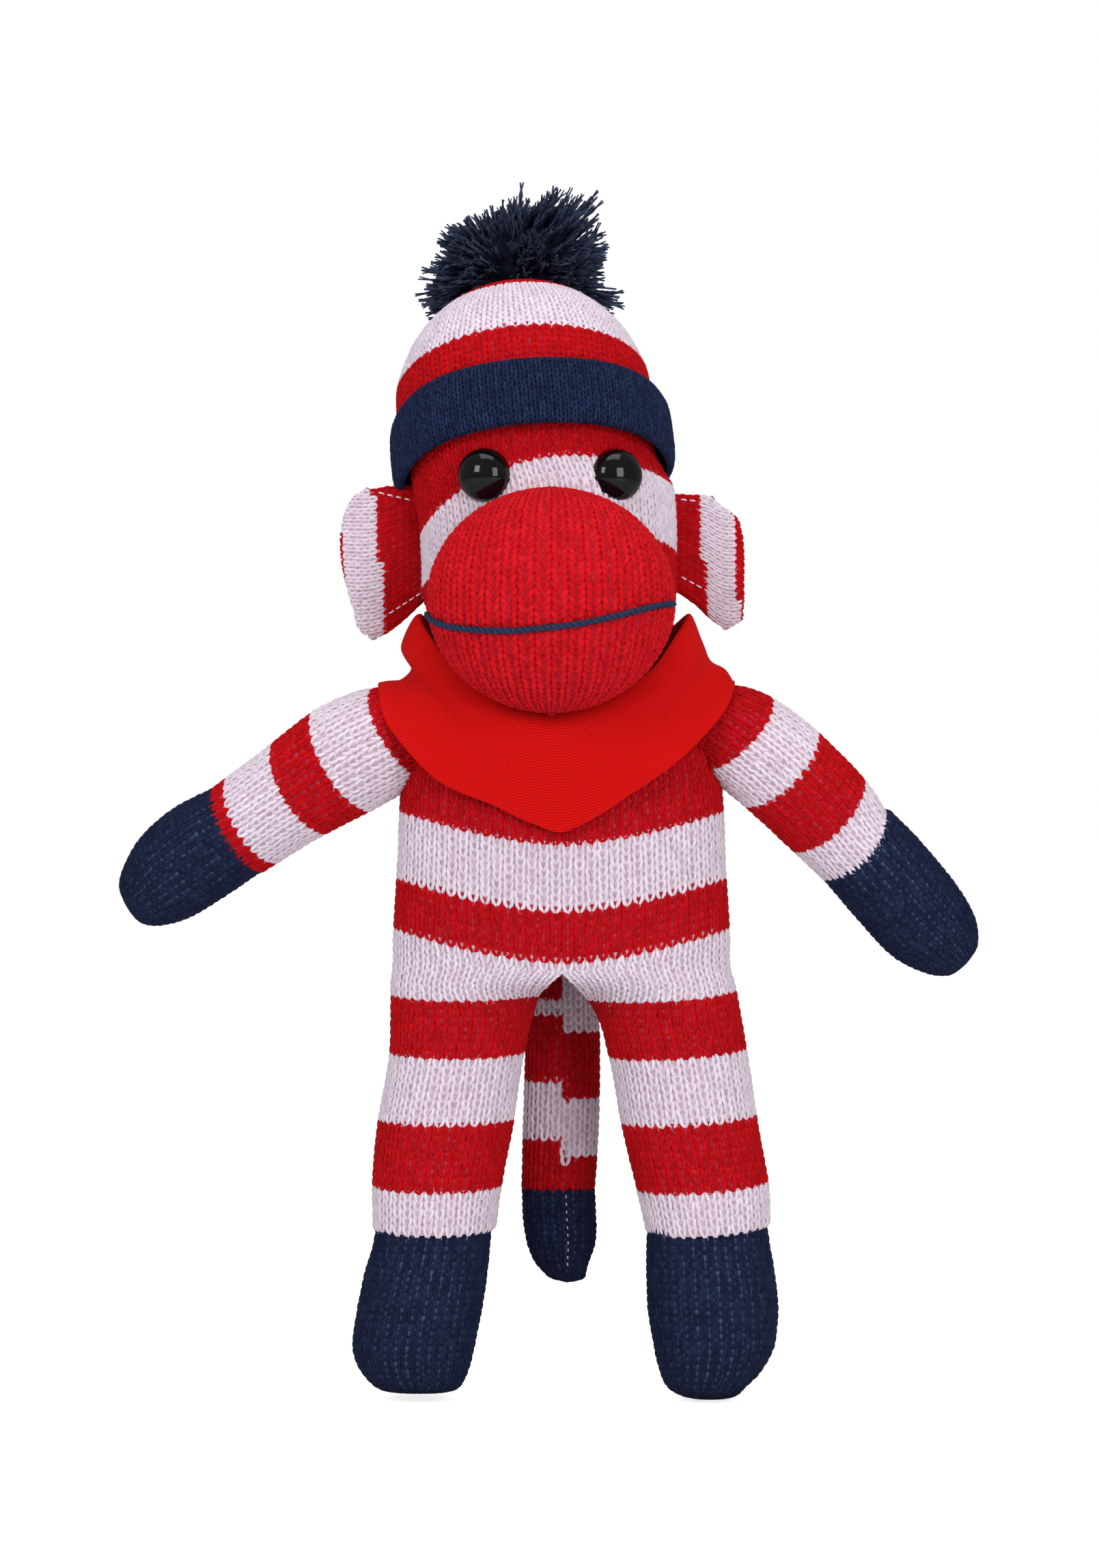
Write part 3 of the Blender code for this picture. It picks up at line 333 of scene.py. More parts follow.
def knit(
    name, skin, wale, course, yarns, lining, stripe=None, show=None, closed=True, thick=1.0, seed=1,
    columns=0,
):
    """A knitted cover. Wale and course are the pitch of its columns and rows, in mm. stripe
    gives each course's yarn, and show says which stitches aren't hidden by other pieces."""
    grid, length, heights = skin
    girth = np.median(np.linalg.norm(np.diff(grid, axis=1), axis=2).sum(1))
    columns = columns or max(6, round(girth / (wale * MM) / 2) * 2)
    courses = max(2, round(length / (course * MM)))
    widest = np.ptp(grid, axis=(0, 1)).max()
    drawn_in = {end: np.ptp(grid[end], axis=0).max() < 0.2 * widest for end in (0, -1)}
    ends = (0.003 if drawn_in[0] else -1, 0.997 if drawn_in[-1] else 2)
    batches = [[] for _ in range(5)]

    def lay(*batch):
        """Keep a batch: points, quads, slots, uvs and tones."""
        start = sum(map(len, batches[0]))
        for kept, more in zip(batches, batch):
            kept.append(more + start if kept is batches[1] else more)

    def colour_at(v, places):
        if stripe is None:
            return np.zeros(len(v), int)
        return stripe(np.interp(v, np.linspace(0, 1, len(heights)), heights), places)

    def off_skin(u, v, away, ends=ends, slim=True):
        """Places so many mm off the skin, closer to it where the columns draw together."""
        normal, spread = outward(grid, u, v, closed, ends)
        share = np.clip(spread / columns / (wale * MM), SLIMMEST, FULLEST) if slim else 1
        return on_grid(grid, u, v, closed) + normal * (away * MM * share)[:, None]

    i, j = (a.ravel() for a in np.meshgrid(np.arange(columns), np.arange(courses)))
    middle = on_grid(grid, (i + 0.5) / columns, (j + 0.5) / courses, closed)
    if show is not None:
        kept = show(middle)
        i, j, middle = i[kept], j[kept], middle[kept]
    chance = np.random.default_rng(seed)
    x, y = np.array(LEG_ACROSS), np.array(LEG_UP)
    out, radius = np.array(LEG_OUT) * thick, np.array(LEG_WIDE) * thick
    along = unit(np.stack([np.gradient(x) * wale, np.gradient(y) * course], 1))
    bend = np.radians(LEG_TURNS)
    side = radius[:, None] * np.sin(bend)
    side_x = (side * along[:, 1:] / wale).ravel()
    side_y = (-side * along[:, :1] / course).ravel()
    rise = (radius[:, None] * np.cos(bend)).ravel() * LEG_FLAT
    n, m = len(x), len(bend)
    run = running(np.stack([x * wale, y * course], 1))
    leg_quads = cell_quads(np.arange(n * m).reshape(n, m))
    fibre_quads = np.array(((0, 1, 3, 2), (2, 3, 5, 4)))
    colour = colour_at((j + 0.5) / courses, middle)
    fat = np.array([STRAND_SHARE[strand.name] for strand in yarns])[colour][:, None]
    for hand in (1, -1):
        wobble = chance.normal(0, WOBBLE, (len(i), 2))
        fuller = fat * chance.uniform(*FULLNESS, (len(i), 1))
        u = i[:, None] + 0.5 + wobble[:, :1] + hand * (np.repeat(x, m) + fuller * side_x)
        v = j[:, None] + wobble[:, 1:] + np.repeat(y, m) + fuller * side_y
        away = np.repeat(out, m) + fuller * rise + chance.normal(0, WOBBLE, (len(i), 1))
        u, v = u.ravel() / columns, np.clip(v.ravel() / courses, *ends)
        turned = leg_quads if hand == 1 else leg_quads[:, ::-1]
        shift = chance.uniform(0, 60, (len(i), 2))
        flat = np.stack([np.tile(bend * 0.4, n), np.repeat(run, m)], 1)
        lay(
            off_skin(u, v, away.ravel()),
            (turned[None] + (np.arange(len(i)) * n * m)[:, None, None]).reshape(-1, 4),
            np.repeat(colour, len(turned)),
            (shift[:, None] + flat[None]).reshape(-1, 2),
            np.repeat(chance.uniform(0, 1, len(i)), n * m),
        )
        # stray fibres that stand off this leg of every stitch
        which = np.tile(np.arange(len(i)), FIBRES)
        at = chance.uniform(0.8, 4.2, len(which))
        leg_x, leg_y, leg_top = (
            np.interp(at, np.arange(n), line) for line in (x, y, out + radius * LEG_FLAT)
        )
        share = np.array((0, 0.5, 1.0))
        heading = chance.normal(0, 0.75, len(which)) + math.pi * chance.integers(0, 2, len(which))
        angle = (heading[:, None] + chance.normal(0, 0.6, len(which))[:, None] * share)[..., None]
        reach = (chance.uniform(0.5, 1.7, len(which))[:, None] * share)[..., None]
        lift = (leg_top - 0.06)[:, None] + chance.uniform(-0.02, 0.34, len(which))[:, None] * share
        half = np.array((-FIBRE_HALF, FIBRE_HALF)) * thick
        to_side = reach * np.sin(angle) + half * np.cos(angle)
        to_top = reach * np.cos(angle) - half * np.sin(angle)
        u = (i[which] + 0.5 + hand * leg_x)[:, None, None] + to_side / wale
        v = (j[which] + leg_y)[:, None, None] + to_top / course
        u, v = u.ravel() / columns, np.clip(v.ravel() / courses, *ends)
        lay(
            off_skin(u, v, np.repeat(lift.ravel(), 2) * thick, slim=False),
            (fibre_quads[None] + np.arange(len(which))[:, None, None] * 6).reshape(-1, 4),
            np.repeat(colour[which], 2),
            np.repeat(chance.uniform(0, 60, (len(which), 2)), 6, 0),
            np.repeat(chance.uniform(0.3, 1.2, len(which)), 6),
        )
    # the lining, which closes the view between the strands, in colours darkened as painted shade
    u, v = np.meshgrid(np.linspace(0, 1, LINING_COLUMNS + 1), np.linspace(0, 1, LINING_ROWS + 1))
    u, v = u.ravel() * 0.999999, v.ravel()
    back = off_skin(u, v, -LINING_DEEP * thick, (0, 1))
    cells = cell_quads(np.arange(len(u)).reshape(LINING_ROWS + 1, LINING_COLUMNS + 1))
    centre = back[cells].mean(1)
    under = colour_at(v[cells].mean(1) - 0.15 / courses, centre)
    if show is not None:
        cells, under = cells[show(centre)], under[show(centre)]
    lay(back, cells, under + len(yarns), np.zeros((len(back), 2)), np.zeros(len(back)))
    for end, inner in ((0, 6), (-1, -7)):
        if drawn_in[end] and closed:
            cap, cells, uv = closing(grid, end, inner)
            shade = colour_at(np.array([abs(end)]), grid[end].mean(0)[None])
            lay(cap, cells, np.repeat(shade, len(cells)), uv, np.full(len(cap), 0.5))
    points, quads, slots, uvs, tones = (np.concatenate(kept) for kept in batches)
    return new_mesh(name, points, quads, slots, [*yarns, *lining], uvs, tones)


WALE, COURSE = 2.65, 1.86  # mm between the columns and the rows of body, arms and legs
SIDES = (("left", 1), ("right", -1))
HIP_SEAM = 103.5
tie_low, tie_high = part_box("neck_tie")
body_x, neck_z = (tie_low.x + tie_high.x) / 2, (tie_low.z + tie_high.z) / 2
BX = body_x / MM
SHOULDER_OUT, SHOULDER_DOWN = 0.0375, 0.0107
shoulders = {
    side: Vector((body_x + sign * SHOULDER_OUT, 0, neck_z - SHOULDER_DOWN)) for side, sign in SIDES
}
TORSO = (
    (HIP_SEAM, BX, 0, 37.9, 19.3), (110, BX, 0, 37.6, 19.8), (120, BX, 0, 37.0, 20.0),
    (130, BX, 0, 36.6, 19.9), (140, BX, 0, 35.8, 18.8), (147, BX, 0, 34.0, 17.6),
    (153, BX, 0, 29.0, 16.0), (156.5, BX, 0, 21.5, 14.4), (158, BX, 0, 15.5, 13.4),
)
torso_skin = stuffed(TORSO, power=2.4, dip=7.4 * MM, peak=1.6)


def banded(edges, first=0):
    """Which yarn each height takes, from the one at the bottom and the heights in mm where the
    stripes change."""
    return lambda height, places: (np.searchsorted(np.array(edges) * MM, height) + first) % 2


def beside_shoulders(places):
    """Not inside the root of an arm."""
    away = [np.linalg.norm(places - np.array(pivot), axis=1) for pivot in shoulders.values()]
    return np.min(away, axis=0) > 11.6 * MM


TORSO_COLUMNS = 72
torso = knit(
    "torso_cover", torso_skin, WALE, COURSE, **STRIPES, stripe=banded((105.9, 117.3, 131.8), 1),
    show=beside_shoulders, seed=3, columns=TORSO_COLUMNS,
)
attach(torso, "torso")
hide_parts("torso")

# Head: a striped tube drawn in at the chin and sat on the neck. It leans back and a little to
# its right, and its rows of stitches arch up over the brow.
CHIN, HEAD_TALL, HEAD_WIDE, HEAD_DEEP = 163.5, 84.0, 29.4, 28  # the last two are halves
HEAD_LEAN, HEAD_BACK = 6, 8
# Up, then width and depth, then lean to the right and back, all as shares.
HEAD_SHARES = (
    (-0.004, 0.05, 0.05, 0, 0), (0.004, 0.40, 0.38, 0, 0), (0.018, 0.600, 0.570, 0, 0),
    (0.048, 0.750, 0.715, 0, 0), (0.100, 0.890, 0.840, 0, 0), (0.185, 0.967, 0.915, 0, 0),
    (0.285, 0.978, 0.950, -0.02, 0), (0.387, 0.988, 0.968, 0.03, 0.05),
    (0.482, 1.002, 0.980, 0.20, 0.15), (0.530, 0.974, 0.990, 0.42, 0.26),
    (0.577, 0.946, 1.000, 0.60, 0.37), (0.673, 0.915, 1.000, 0.72, 0.56),
    (0.768, 0.840, 0.945, 0.80, 0.75),
)
HEAD = [
    (
        CHIN + HEAD_TALL * up, BX * (1 - min(1, max(up, 0) / 0.2)) - HEAD_LEAN * lean, HEAD_BACK * back,
        HEAD_WIDE * w, HEAD_DEEP * d,
    )
    for up, w, d, lean, back in HEAD_SHARES
]
MUZZLE_AT = np.array((0.6, -26, 178.3)) * MM
MUZZLE_HALF = np.array((27.6, 22.5, 25.0)) * MM
MUZZLE_BEHIND = 6 * MM


def moved(place):
    """A function that puts points where a matrix does."""
    place = np.array(place)
    return lambda points: points @ place[:3, :3].T + place[:3, 3]


hat_place = (
    Matrix.Translation(Vector((-3.9, 0, 206)) * MM)
    @ Matrix.Rotation(math.radians(-25), 4, "X")
    @ Matrix.Rotation(math.radians(-5), 4, "Y")
)
off_hat = moved(hat_place.inverted())


def face_shows(places):
    """Not behind the muzzle and not under the hat."""
    off = (places - MUZZLE_AT) / MUZZLE_HALF
    off[:, 1] *= np.where(off[:, 1] > 0, MUZZLE_HALF[1] / MUZZLE_BEHIND, 1)
    return (np.linalg.norm(off, axis=1) > 0.95) & (off_hat(places)[:, 2] <= 9 * MM)


head_skin = stuffed(HEAD, power=2.1, dip=-10.4 * MM, tilt=0.19)
head = knit(
    "head_cover", head_skin, 2.35, 1.7, **STRIPES, stripe=banded((171, 186, 199), 1), show=face_shows,
    seed=5,
)
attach(head, "head")
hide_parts("head")

# Muzzle: an oval of red knit over firm filling, sewn round the lower face. Its columns of
# stitches draw together a little towards the top and the bottom. The mouth draws it in.
MOUTH_LINE = np.array(
    ((-26.9, 175.3), (-25.3, 173.5), (-21, 172.0), (-15, 171.3), (-8, 171.1), (0, 171.7), (8, 172.8),
    (16, 174.6), (22, 176.2), (27.5, 177.4))
)


def crease(x, z, front):
    """How far the mouth's yarn draws the front of the muzzle in, along it and below it."""
    below = (np.interp(x, MOUTH_LINE[:, 0] * MM, MOUTH_LINE[:, 1] * MM) - z) / MM
    lip = np.clip(below / 4, 0, 1) * np.clip((22 - below) / 14, 0, 1)
    return MM * (0.8 * np.exp(-((below / 1.7) ** 2)) + 0.9 * lip) * np.clip(front * 1.6, 0, 1)


def muzzle_skin():
    """The oval as a skin. Its columns stand upright in front and meet behind."""
    lift = np.linspace(-math.pi / 2, math.pi / 2, 1001)
    run = running(np.stack([MUZZLE_HALF[1] * np.cos(lift), MUZZLE_HALF[2] * np.sin(lift)], 1))
    turn = np.linspace(0, math.pi, 400)
    deep = np.where(np.cos(turn) > 0, MUZZLE_HALF[1], MUZZLE_BEHIND)
    half = np.stack([MUZZLE_HALF[0] * np.sin(turn), -deep * np.cos(turn)], 1)
    half_run = running(half)
    grid = np.empty((SKIN_ROWS, SKIN_COLUMNS, 3))
    share = np.linspace(-1, 1, SKIN_COLUMNS)
    for k, row in enumerate(np.interp(np.linspace(0.004, 0.996, SKIN_ROWS) * run[-1], run, lift)):
        small = max(math.cos(row), 1e-3)
        reach = np.minimum(np.abs(share) * half_run[-1] * small**0.35 / small, half_run[-1])
        x = np.sign(share) * np.interp(reach, half_run, half[:, 0])
        y = np.interp(reach, half_run, half[:, 1])
        tall = np.full(SKIN_COLUMNS, MUZZLE_HALF[2] * math.sin(row))
        grid[k] = MUZZLE_AT + np.stack([x * small, y * small, tall], 1)
        grid[k, :, 1] += crease(grid[k, :, 0], grid[k, :, 2], -y * small / MUZZLE_HALF[1])
    return grid, run[-1] * 0.992, grid[:, 0, 2]


def muzzle_shows(places, power=2.1, keep=0.93):
    """Outside the head shrunk to the share keep, and not where the columns meet behind."""
    table = np.array(HEAD) * MM
    x, y, w, d = (np.interp(places[:, 2], table[:, 0], table[:, n]) for n in (1, 2, 3, 4))
    reach = np.abs((places[:, 0] - x) / w) ** power + np.abs((places[:, 1] - y) / d) ** power
    clear = (places[:, 2] < table[0, 0]) | (places[:, 2] > table[-1, 0]) | (reach > keep**power)
    return clear & ((np.abs(places[:, 0] - MUZZLE_AT[0]) >= 1.5 * MM) | (places[:, 1] <= MUZZLE_AT[1]))


muzzle = knit("muzzle_cover", muzzle_skin(), 2.75, 1.62, [MUZZLE], [UNDER_MUZZLE_PAINTED_SHADE], show=muzzle_shows, seed=7)
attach(muzzle, "head")
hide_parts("muzzle")

# Mouth: one length of navy two-ply yarn laid across the muzzle. It is caught at both ends,
# and the pull of it sinks it a little into the knit.


def across_paths(paths):
    """Two directions square to each path and to each other."""
    tangent = unit(np.gradient(paths, axis=1))
    guide = np.where(np.abs(tangent[..., 2:]) < 0.9, (0, 0, 1.0), (1.0, 0, 0))
    one = unit(np.cross(guide, tangent))
    return one, np.cross(tangent, one)


def ring_quads(cells):
    """Four corners for every cell of rings of point numbers, each ring closed on itself."""
    near, far = cells[..., :-1, :], cells[..., 1:, :]
    return np.stack([near, np.roll(near, -1, -1), np.roll(far, -1, -1), far], -1).reshape(-1, 4)


def joined(parts):
    """One set of points and quads from several."""
    starts = np.cumsum([0] + [len(points) for points, _ in parts])
    quads = [quads + start for (_, quads), start in zip(parts, starts)]
    return np.concatenate([points for points, _ in parts]), np.concatenate(quads)


def tubes(paths, radius, sides):
    """Round strands along many rows of points, as points and faces, open at both ends."""
    one, two = across_paths(paths)
    turn = np.arange(sides) * 2 * math.pi / sides
    ring = one[:, :, None] * np.cos(turn)[:, None] + two[:, :, None] * np.sin(turn)[:, None]
    points = paths[:, :, None] + ring * np.broadcast_to(radius, paths.shape[:2])[..., None, None]
    return points.reshape(-1, 3), ring_quads(np.arange(points.size // 3).reshape(points.shape[:3]))


def plied(paths, thick, pitch, start=0.0, splay=1.0):
    """Two plies twisted round each other along many rows of points."""
    one, two = across_paths(paths)
    run = np.stack([running(path) for path in paths])
    turn = (run / pitch * 2 * math.pi + np.reshape(start, (-1, 1)))[..., None]
    shift = (one * np.cos(turn) + two * np.sin(turn)) * np.asarray(thick * 0.25 * splay)[..., None]
    return paths + shift, paths - shift


def on_muzzle(x, z, proud):
    """Places on the front of the muzzle, from x and z."""
    a, c = (x - MUZZLE_AT[0]) / MUZZLE_HALF[0], (z - MUZZLE_AT[2]) / MUZZLE_HALF[2]
    depth = np.sqrt(np.maximum(0, 1 - a * a - c * c))
    return np.stack([x, MUZZLE_AT[1] - MUZZLE_HALF[1] * depth - proud + crease(x, z, depth), z], 1)


MOUTH_THICK, MOUTH_PITCH, MOUTH_PLY_HALF, MOUTH_SIDES = 1.45 * MM, 3.0 * MM, 0.44 * MM, 8
at = np.linspace(0, len(MOUTH_LINE) - 1, 260)
line = through(np.arange(len(MOUTH_LINE)), MOUTH_LINE * MM, at)
route = on_muzzle(line[:, 0], line[:, 1], 0.25 * MM)[None]
plies = plied(route, MOUTH_THICK, MOUTH_PITCH)
points, quads = joined([tubes(ply, MOUTH_PLY_HALF, MOUTH_SIDES) for ply in plies])
mouth_round = np.tile(np.arange(MOUTH_SIDES) / 4, len(points) // MOUTH_SIDES)
mouth_uv = np.stack([mouth_round, points[:, 0] / MM], 1)
mouth = new_mesh("mouth_strand", points, quads, 0, [MOUTH], mouth_uv, 0.5)
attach(mouth, "head")
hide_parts("mouth_yarn")

# Eyes: glossy black safety eyes, domes on a thin rim, pressed against the face by the washers
# behind it. The soft face lets each one sit a little off its place.
EYE_BLACK, _, _, shader = new_material("glossy_black")
put(shader, {"Base Color": (0.003, 0.003, 0.004, 1), "Roughness": 0.06, "Specular IOR Level": 0.24})
EYE_YAW = math.radians(17)
EYE_DRIFT = {"left": (-0.2, 0, -0.8), "right": (0.9, 0, -0.8)}
EYE_RIM = [(0.01, -1.2), (5.2, -1.2), (5.75, -0.9), (6.0, -0.2), (6.0, 0.55), (5.93, 0.85), (5.87, 1.0)]
EYE_DOME = [
    (5.85 * math.cos(a), 0.9 + 4.3 * math.sin(a)) for a in np.linspace(0.06, math.pi / 2 - 0.001, 28)
]


def turned_shape(name, profile, place, material, around=64):
    """A shape turned on a lathe from (radius, height) pairs, closed at its last point."""
    radius, height = np.array(profile).T
    turn = np.arange(around) * 2 * math.pi / around
    rings = [np.outer(radius, np.cos(turn)), np.outer(radius, np.sin(turn))]
    rings.append(np.outer(height, np.ones(around)))
    points = moved(place)(np.stack(rings, -1).reshape(-1, 3))
    return new_mesh(name, points, ring_quads(np.arange(len(points)).reshape(-1, around)), 0, [material])


for side, sign in SIDES:
    low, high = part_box(f"eye_{side}")
    out = Vector((sign * math.sin(EYE_YAW), -math.cos(EYE_YAW), 0))
    seat = Vector(((low.x + high.x) / 2, low.y + 5.2 * MM * math.cos(EYE_YAW), (low.z + high.z) / 2))
    facing = out.to_track_quat("Z", "Y").to_matrix().to_4x4()
    place = Matrix.Translation(seat + Vector(EYE_DRIFT[side]) * MM) @ facing
    eye = turned_shape(f"eye_dome_{side}", np.array(EYE_RIM + EYE_DOME) * MM, place, EYE_BLACK)
    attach(eye, "head")
    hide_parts(f"eye_{side}")

# Ears: doubled pieces of striped knit, hemmed round the edge and sewn flat to the head. Their
# columns of stitches run outwards, so their stripes stand upright.
EAR_ROOT = {"left": 24.5, "right": 27.5}
# Out from the middle of the head, then the height of the ear's middle and half its height.
EAR_MIDDLE = {
    "left": (
        (24.5, 193.4, 9.8), (27.5, 192.2, 10.8), (32, 190.7, 12.2), (35.6, 188.9, 13.7), (38.5, 187.1, 14.1),
        (46, 187.1, 14.1),
    ),
    "right": (
        (27.5, 192, 13.0), (32.2, 189.8, 15.3), (36.3, 188, 16.7), (39.5, 187.2, 17.0), (48, 187.2, 17.0)
    ),
}
# From the ear's bottom, -1, to its top, and how far out its edge lies there.
EAR_EDGE = {
    "left": (
        (-1, 40.4), (-0.95, 42.2), (-0.7, 43.8), (-0.3, 44.0), (0.2, 44.0), (0.5, 43.6), (0.8, 42.0),
        (0.93, 39.8), (1, 37.4),
    ),
    "right": (
        (-1, 40.0), (-0.9, 42.1), (-0.6, 44.0), (-0.2, 45.9), (0.2, 46.9), (0.5, 46.6), (0.8, 45.0),
        (0.93, 43.4), (1, 41.4),
    ),
}
EAR_THICK = 1.5  # mm, half of it
EAR_STITCHES = {
    "left": (((29.4, 201.6), (33.4, 201.2)), ((29.6, 184.3), (36.4, 180.6))),
    "right": (((30.8, 201.4), (38.6, 203.2)), ((28.6, 180.6), (36.0, 175.8))),
}
EAR_BANDS = {"left": banded((34.9, 42.1)), "right": banded((37.7, 46.0))}
EAR_LEAN = {"left": 0.07, "right": -0.10}


def ear_skin(side, sign):
    """Both faces of an ear as one skin: each column runs out, round the edge and back again."""
    share = np.linspace(1, -1, 121) * sign
    middle, edge = np.array(EAR_MIDDLE[side]), np.array(EAR_EDGE[side])
    far = through(edge[:, 0], edge[:, 1:], share)[:, 0]
    thick = EAR_THICK * np.maximum(0.02, 1 - np.abs(share) ** 8) ** 0.5
    root = EAR_ROOT[side]
    length = 2 * (far.max() - root) + 2
    run = np.linspace(0, length, SKIN_ROWS)
    grid = np.empty((SKIN_ROWS, len(share), 3))
    for k, (t, end, half) in enumerate(zip(share, far, thick)):
        flat = end - half - root
        turn = np.clip((run - flat) / half, 0, math.pi)
        out = np.where(run < flat, root + run, end - half + half * np.sin(turn))
        past = run - flat - math.pi * half
        out = np.where(past > 0, end - half - past, out)
        depth = -half * np.cos(turn)
        tall = through(middle[:, 0], middle[:, 1:], np.clip(out, root, None))
        cup = 3.0 * (np.maximum(0, out - 32) / 15) ** 2 + 0.5 * t * t
        swell = 0.5 * (1 - t * t) * np.sin(np.clip((out - root) / (end - root), 0, 1) * math.pi)
        depth = depth + np.where(depth < 0, -swell, swell)
        grid[:, k] = np.stack([sign * out, 2 - cup + depth, tall[:, 0] + t * tall[:, 1]], 1) * MM
    return grid, length * MM, run * MM


def short_stitches(name, grid, spots, bow, half, tone, closed=True):
    """White stitches through a skin. Spots give five places, as u and v, along each stitch."""
    bow = np.array(bow)[:, None] * MM
    dashes = [on_grid(grid, u, v, closed) + outward(grid, u, v, closed)[0] * bow for u, v in spots]
    points, quads = tubes(np.array(dashes), half * MM, 6)
    return new_mesh(name, points, quads, 0, [WHITE], points[:, ::2] / MM, tone)


for side, sign in SIDES:

    def ear_stripe(height, places, side=side, sign=sign):
        lean = EAR_LEAN[side] * (places[:, 2] - 187 * MM)
        return EAR_BANDS[side](sign * places[:, 0] + lean, places)

    def ear_shows(places, sign=sign, first=EAR_ROOT[side] + 0.9):
        return sign * places[:, 0] > first * MM

    skin = ear_skin(side, sign)
    ear = knit(
        f"ear_cover_{side}", skin, 2.2, 1.6, **STRIPES, stripe=ear_stripe, show=ear_shows, closed=False,
        seed=61 + sign,
    )
    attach(ear, f"ear_{side}")
    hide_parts(f"ear_{side}")
    middle = np.array(EAR_MIDDLE[side])
    spots = []
    for (x0, z0), (x1, z1) in EAR_STITCHES[side]:
        count = round(math.hypot(x1 - x0, z1 - z0) / 1.9)
        for k in range(count):
            share = (k + np.linspace(0.12, 0.78, 5)) / count
            x, z = x0 + (x1 - x0) * share, z0 + (z1 - z0) * share
            centre = through(middle[:, 0], middle[:, 1:], x)
            t = (z - centre[:, 0]) / centre[:, 1]
            spots.append(((1 - sign * t) / 2, (x - EAR_ROOT[side]) * MM / skin[1]))
    stitches = short_stitches(
        f"ear_topstitch_{side}", skin[0], spots, (-0.5, 0.12, 0.26, 0.12, -0.5), 0.19, 0.6, closed=False
    )
    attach(stitches, f"ear_{side}")

# Hat: a striped crown gathered at the top and pulled well down. It leans back and to the
# doll's right.
CROWN = (
    (13, 0, 0, 28.5, 28.5), (15.8, 0, 0, 28.9, 28.9), (20.5, 0, 0, 28.9, 28.9),
    (25.4, 0, 0, 28.2, 28.2), (33.6, 0, 0, 24.6, 24.6), (40.3, 0, 0, 19.0, 19.0),
    (44.9, 0, 0, 12.0, 12.0), (47.3, 0, 0, 5.0, 5.0), (48.0, 0, 0, 0.8, 0.8),
)
crown = knit(
    "hat_crown_cover", stuffed(CROWN, power=2.0, warp=moved(hat_place)), 2.15, 1.62, **STRIPES,
    stripe=banded((25.0, 40.6)), seed=71,
)
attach(crown, "head")
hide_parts("hat_crown")

# Cuff: the hat's navy edge, in finer yarn, folded up once round it. It stands a little away
# from the crown and waves where it was pulled on. Radius and height run along the fold.
CUFF = (
    (28.9, 1.6), (29.3, 0.3), (30.2, -0.3), (31.2, 0.2), (31.8, 2.0), (32.0, 5.0), (32.0, 9.0),
    (31.8, 12.6), (31.3, 14.8), (30.4, 15.8), (29.4, 15.4), (28.8, 14.0),
)


def cuff_skin():
    """The fold turned round the hat, with its waves."""
    fold = through(np.arange(len(CUFF)), np.array(CUFF) * MM, np.linspace(0, len(CUFF) - 1, 400))
    run = running(fold)
    even = np.linspace(0, run[-1], SKIN_ROWS)
    radius, height = np.interp(even, run, fold[:, 0]), np.interp(even, run, fold[:, 1])
    turn = np.linspace(0, 2 * math.pi, SKIN_COLUMNS) + math.pi / 2
    radius = radius[:, None] + 0.28 * MM * np.sin(3 * turn + 0.6) + 0.12 * MM * np.sin(7 * turn)
    low_edge = 1 - height / height.max() * 0.45
    height = height[:, None] + 0.35 * MM * np.sin(2 * turn + 1.2) + 0.18 * MM * np.sin(5 * turn)
    height = height + low_edge[:, None] * (0.5 + 1.8 * np.sin(turn)) * MM
    grid = np.stack([radius * np.cos(turn) + 0.8 * MM, radius * np.sin(turn), height], -1)
    return moved(hat_place)(grid), run[-1], height[:, 0]


cuff = knit("hat_cuff_cover", cuff_skin(), 1.85, 1.32, [CUFF_YARN], [UNDER_CUFF_PAINTED_SHADE], thick=0.72, seed=73)
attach(cuff, "head")
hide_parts("hat_cuff")

# Pompom: turns of navy yarn tied at the middle, cut and fluffed into uneven tufts. The cut
# ends open out. Their tone is painted light towards the tips and painted shade in the core.
POMPOM_AT = np.array((-7.2, 29.0, 252.8)) * MM
POMPOM_HALF = np.array((22.0, 19.5, 20.0)) * MM
POMPOM_STRANDS, POMPOM_ROOT = 2300, 0.45
# How far its tufts reach in the front view: degrees anticlockwise from +X, then millimetres.
POMPOM_REACH = (
    (-180, 21.2), (-157, 20.4), (-90, 20), (-35, 19.0), (-22, 20.5), (-15, 24.6), (-8, 22.5), (-1, 17.6),
    (6, 19.6), (18, 20.8), (30, 21.6), (45, 23.2), (61, 22.2), (74, 19.4), (86, 16.8), (97, 19.2),
    (110, 17.5), (121, 16.8), (134, 19.2), (147, 20.1), (167, 21.4), (180, 21.2),
)
# Along a strand, from its root to its cut end.
STRAND_SPLAY = np.array((1, 1, 1, 1, 1.15, 1.9))
STRAND_HALF = np.array((1, 1, 1, 1, 0.95, 0.6)) * 0.29 * MM
# painted light: the tone rises towards the cut end, so the tips take the yarn's pale stop
STRAND_PAINTED_LIGHT = np.array((0, 0, 0.1, 0.25, 0.5, 0.8))
chance = np.random.default_rng(81)
tufts = unit(chance.normal(size=(64, 3)))
tuft_long = chance.uniform(0.90, 1.04, len(tufts))
tufts[0], tuft_long[0] = np.array((0.95, -0.05, -0.27)), 1.02
out = unit(chance.normal(size=(POMPOM_STRANDS, 3)))
nearest = np.argmax(out @ tufts.T, 1)
aim = unit(out * 0.68 + tufts[nearest] * 0.32)
long = tuft_long[nearest] * chance.uniform(0.88, 1.03, POMPOM_STRANDS)
reach_turn, reach_far = np.array(POMPOM_REACH).T
level = np.hypot(aim[:, 0], aim[:, 2])
plain = np.hypot(aim[:, 0] * POMPOM_HALF[0], aim[:, 2] * POMPOM_HALF[2]) / level / MM
bearing = np.degrees(np.arctan2(aim[:, 2] * POMPOM_HALF[2], aim[:, 0] * POMPOM_HALF[0]))
long *= 1 + level**2 * (np.interp(bearing, reach_turn, reach_far) / plain - 1)
share = np.linspace(POMPOM_ROOT, 1.0, 6)[:, None]
